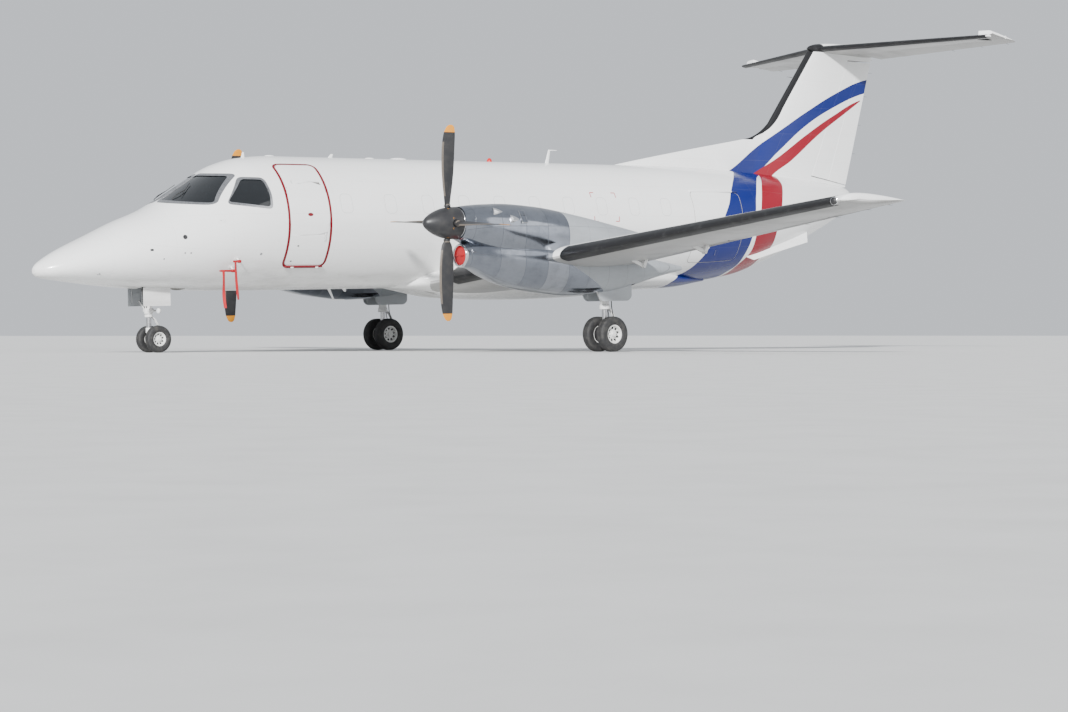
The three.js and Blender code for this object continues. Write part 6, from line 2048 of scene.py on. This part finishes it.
def nose_plates():
    """Flush discs and plates: static ports, vents and lamps of the nose."""
    form = Form()
    for station, height, radius, kind in ((2239, -265, 38, 1), (1888, -616, 13, 2), (2234, -523, 15, 2),
                                          (2338, -524, 15, 2), (3636, -547, 24, 2), (2007, -95, 34, 0),
                                          (2874, -8, 15, 1), (2936, -16, 13, 1)):
        aft, up, out = skin_frame(station, height)
        middle = on_side(station, height)
        ring = [(-3, radius), (1.2, radius), (2.0, radius * 0.9), (2.0, radius * 0.5), (0.8, radius * 0.42)]
        form.turned(middle, out, ring, 32, kind)
    for station, height, wide, tall, kind in ((2893, 2, 150, 60, 0), (1682, -470, 60, 34, 1), (4329, -418, 34, 24, 1),
                                              (4263, -668, 34, 24, 1)):
        aft, up, out = skin_frame(station, height)
        middle = on_side(station, height)
        outline = rounded_outline(wide, tall, tall * 0.45, 5)
        form.loft([[middle + out * d + aft * (u * size) + up * (v * size) for u, v in outline] for d,
                   size in ((-3, 1), (1.2, 1), (2.0, 0.96))], kind)
    form.piece("nose_plates", [white_paint(), finish("dark"), finish("steel")], "airframe", "white_paint")
    probe = Form()
    root = on_side(900, -828)
    _, _, out = skin_frame(900, -828)
    probe.bar(root - out * 6, root + out * 34, 10, 7, 16, 1)
    probe.bar(root + out * 34 + at(10, 0, 0), root + out * 34 + at(-50, 0, 0), 6, 5, 14, 1)
    probe.piece("front_probe", [finish("steel")], "airframe", "bare_metal")


class AIRLINER_OT_fittings(bpy.types.Operator):
    """Aerials, beacons, domes, vanes and flush plates on the skin"""
    bl_idname = "airliner.fittings"
    bl_label = "Fittings"

    def execute(self, context):
        aerial_mast()
        roof_and_belly()
        nose_plates()
        return {"FINISHED"}


# Stage

CAMERA_SPOT = (27.57, 34.34, 0.30)
CAMERA_TURN = radians(50.93)
CAMERA_DIP = radians(0.52)
CAMERA_LENS = 80.2


def floor_finish():
    made, net = material("floor_finish")
    grain = net.noise(net.spot(), 3.0, 6.0)
    dress(net, base_color=net.mix(net.ramp(grain, 0.3, 0.8), colours().floor, (0.58, 0.58, 0.57)), roughness=0.85)
    return made


def sun_light(name, kind, spot, energy, angle):
    light = bpy.data.lights.new(name, kind)
    light.energy = energy
    light.angle = angle
    made = bpy.data.objects.new(name, light)
    bpy.context.scene.collection.objects.link(made)
    made.rotation_euler = (-Vector(spot)).to_track_quat("-Z", "Y").to_euler()


class AIRLINER_OT_stage(bpy.types.Operator):
    """Floor, light and the camera at the photograph's place"""
    bl_idname = "airliner.stage"
    bl_label = "Stage"

    def execute(self, context):
        form = Form()
        corners = [form.mesh.verts.new(p) for p in ((-400, -400, 0), (400, -400, 0), (400, 400, 0), (-400, 400, 0))]
        form.mesh.faces.new(corners)
        ground = form.object("floor", [floor_finish()])
        world = bpy.data.worlds.new("studio")
        world.use_nodes = True
        background = world.node_tree.nodes["Background"]
        background.inputs["Color"].default_value = (0.86, 0.90, 0.96, 1)
        background.inputs["Strength"].default_value = 0.85
        context.scene.world = world
        sun_light("key", "SUN", (79, 64, 44), 7.5, radians(4))
        sun_light("fill", "SUN", (-20, 36, 12), 0.5, radians(40))
        lens = bpy.data.cameras.new("camera")
        lens.lens = CAMERA_LENS
        lens.sensor_width = 36
        lens.clip_end = 2000
        camera = bpy.data.objects.new("camera", lens)
        context.scene.collection.objects.link(camera)
        camera.location = CAMERA_SPOT
        ahead = Vector((-cos(CAMERA_TURN), -sin(CAMERA_TURN), -tan(CAMERA_DIP)))
        camera.rotation_euler = ahead.to_track_quat("-Z", "Y").to_euler()
        context.scene.camera = camera
        return {"FINISHED"}


# Sidebar and registration

steps = (
    AIRLINER_OT_stage, AIRLINER_OT_fuselage, AIRLINER_OT_flight_deck_windows, AIRLINER_OT_flight_deck,
    AIRLINER_OT_doors, AIRLINER_OT_wings, AIRLINER_OT_belly, AIRLINER_OT_fin, AIRLINER_OT_tailplane,
    AIRLINER_OT_nacelles, AIRLINER_OT_propellers, AIRLINER_OT_covers, AIRLINER_OT_wheels, AIRLINER_OT_nose_gear,
    AIRLINER_OT_main_gear, AIRLINER_OT_fittings,
)


class AIRLINER_PT_pieces(bpy.types.Panel):
    """Lists the sizes, the colours and the pieces"""
    bl_idname = "AIRLINER_PT_pieces"
    bl_label = "Airliner"
    bl_space_type = "VIEW_3D"
    bl_region_type = "UI"
    bl_category = "Airliner"

    def draw(self, context):
        for group in (context.scene.airliner_colours, context.scene.airliner_sizes):
            box = self.layout.box()
            for name in group.__annotations__:
                box.prop(group, name)
        column = self.layout.column(align=True)
        for step in steps:
            column.operator(step.bl_idname)


classes = (AirlinerColours, AirlinerSizes, *steps, AIRLINER_PT_pieces)


def register():
    for each in classes:
        bpy.utils.register_class(each)
    bpy.types.Scene.airliner_colours = PointerProperty(type=AirlinerColours)
    bpy.types.Scene.airliner_sizes = PointerProperty(type=AirlinerSizes)


def unregister():
    del bpy.types.Scene.airliner_sizes
    del bpy.types.Scene.airliner_colours
    for each in reversed(classes):
        bpy.utils.unregister_class(each)


def main():
    register()
    for step in steps:
        group, name = step.bl_idname.split(".")
        getattr(getattr(bpy.ops, group), name)()


if __name__ == "__main__":
    main()
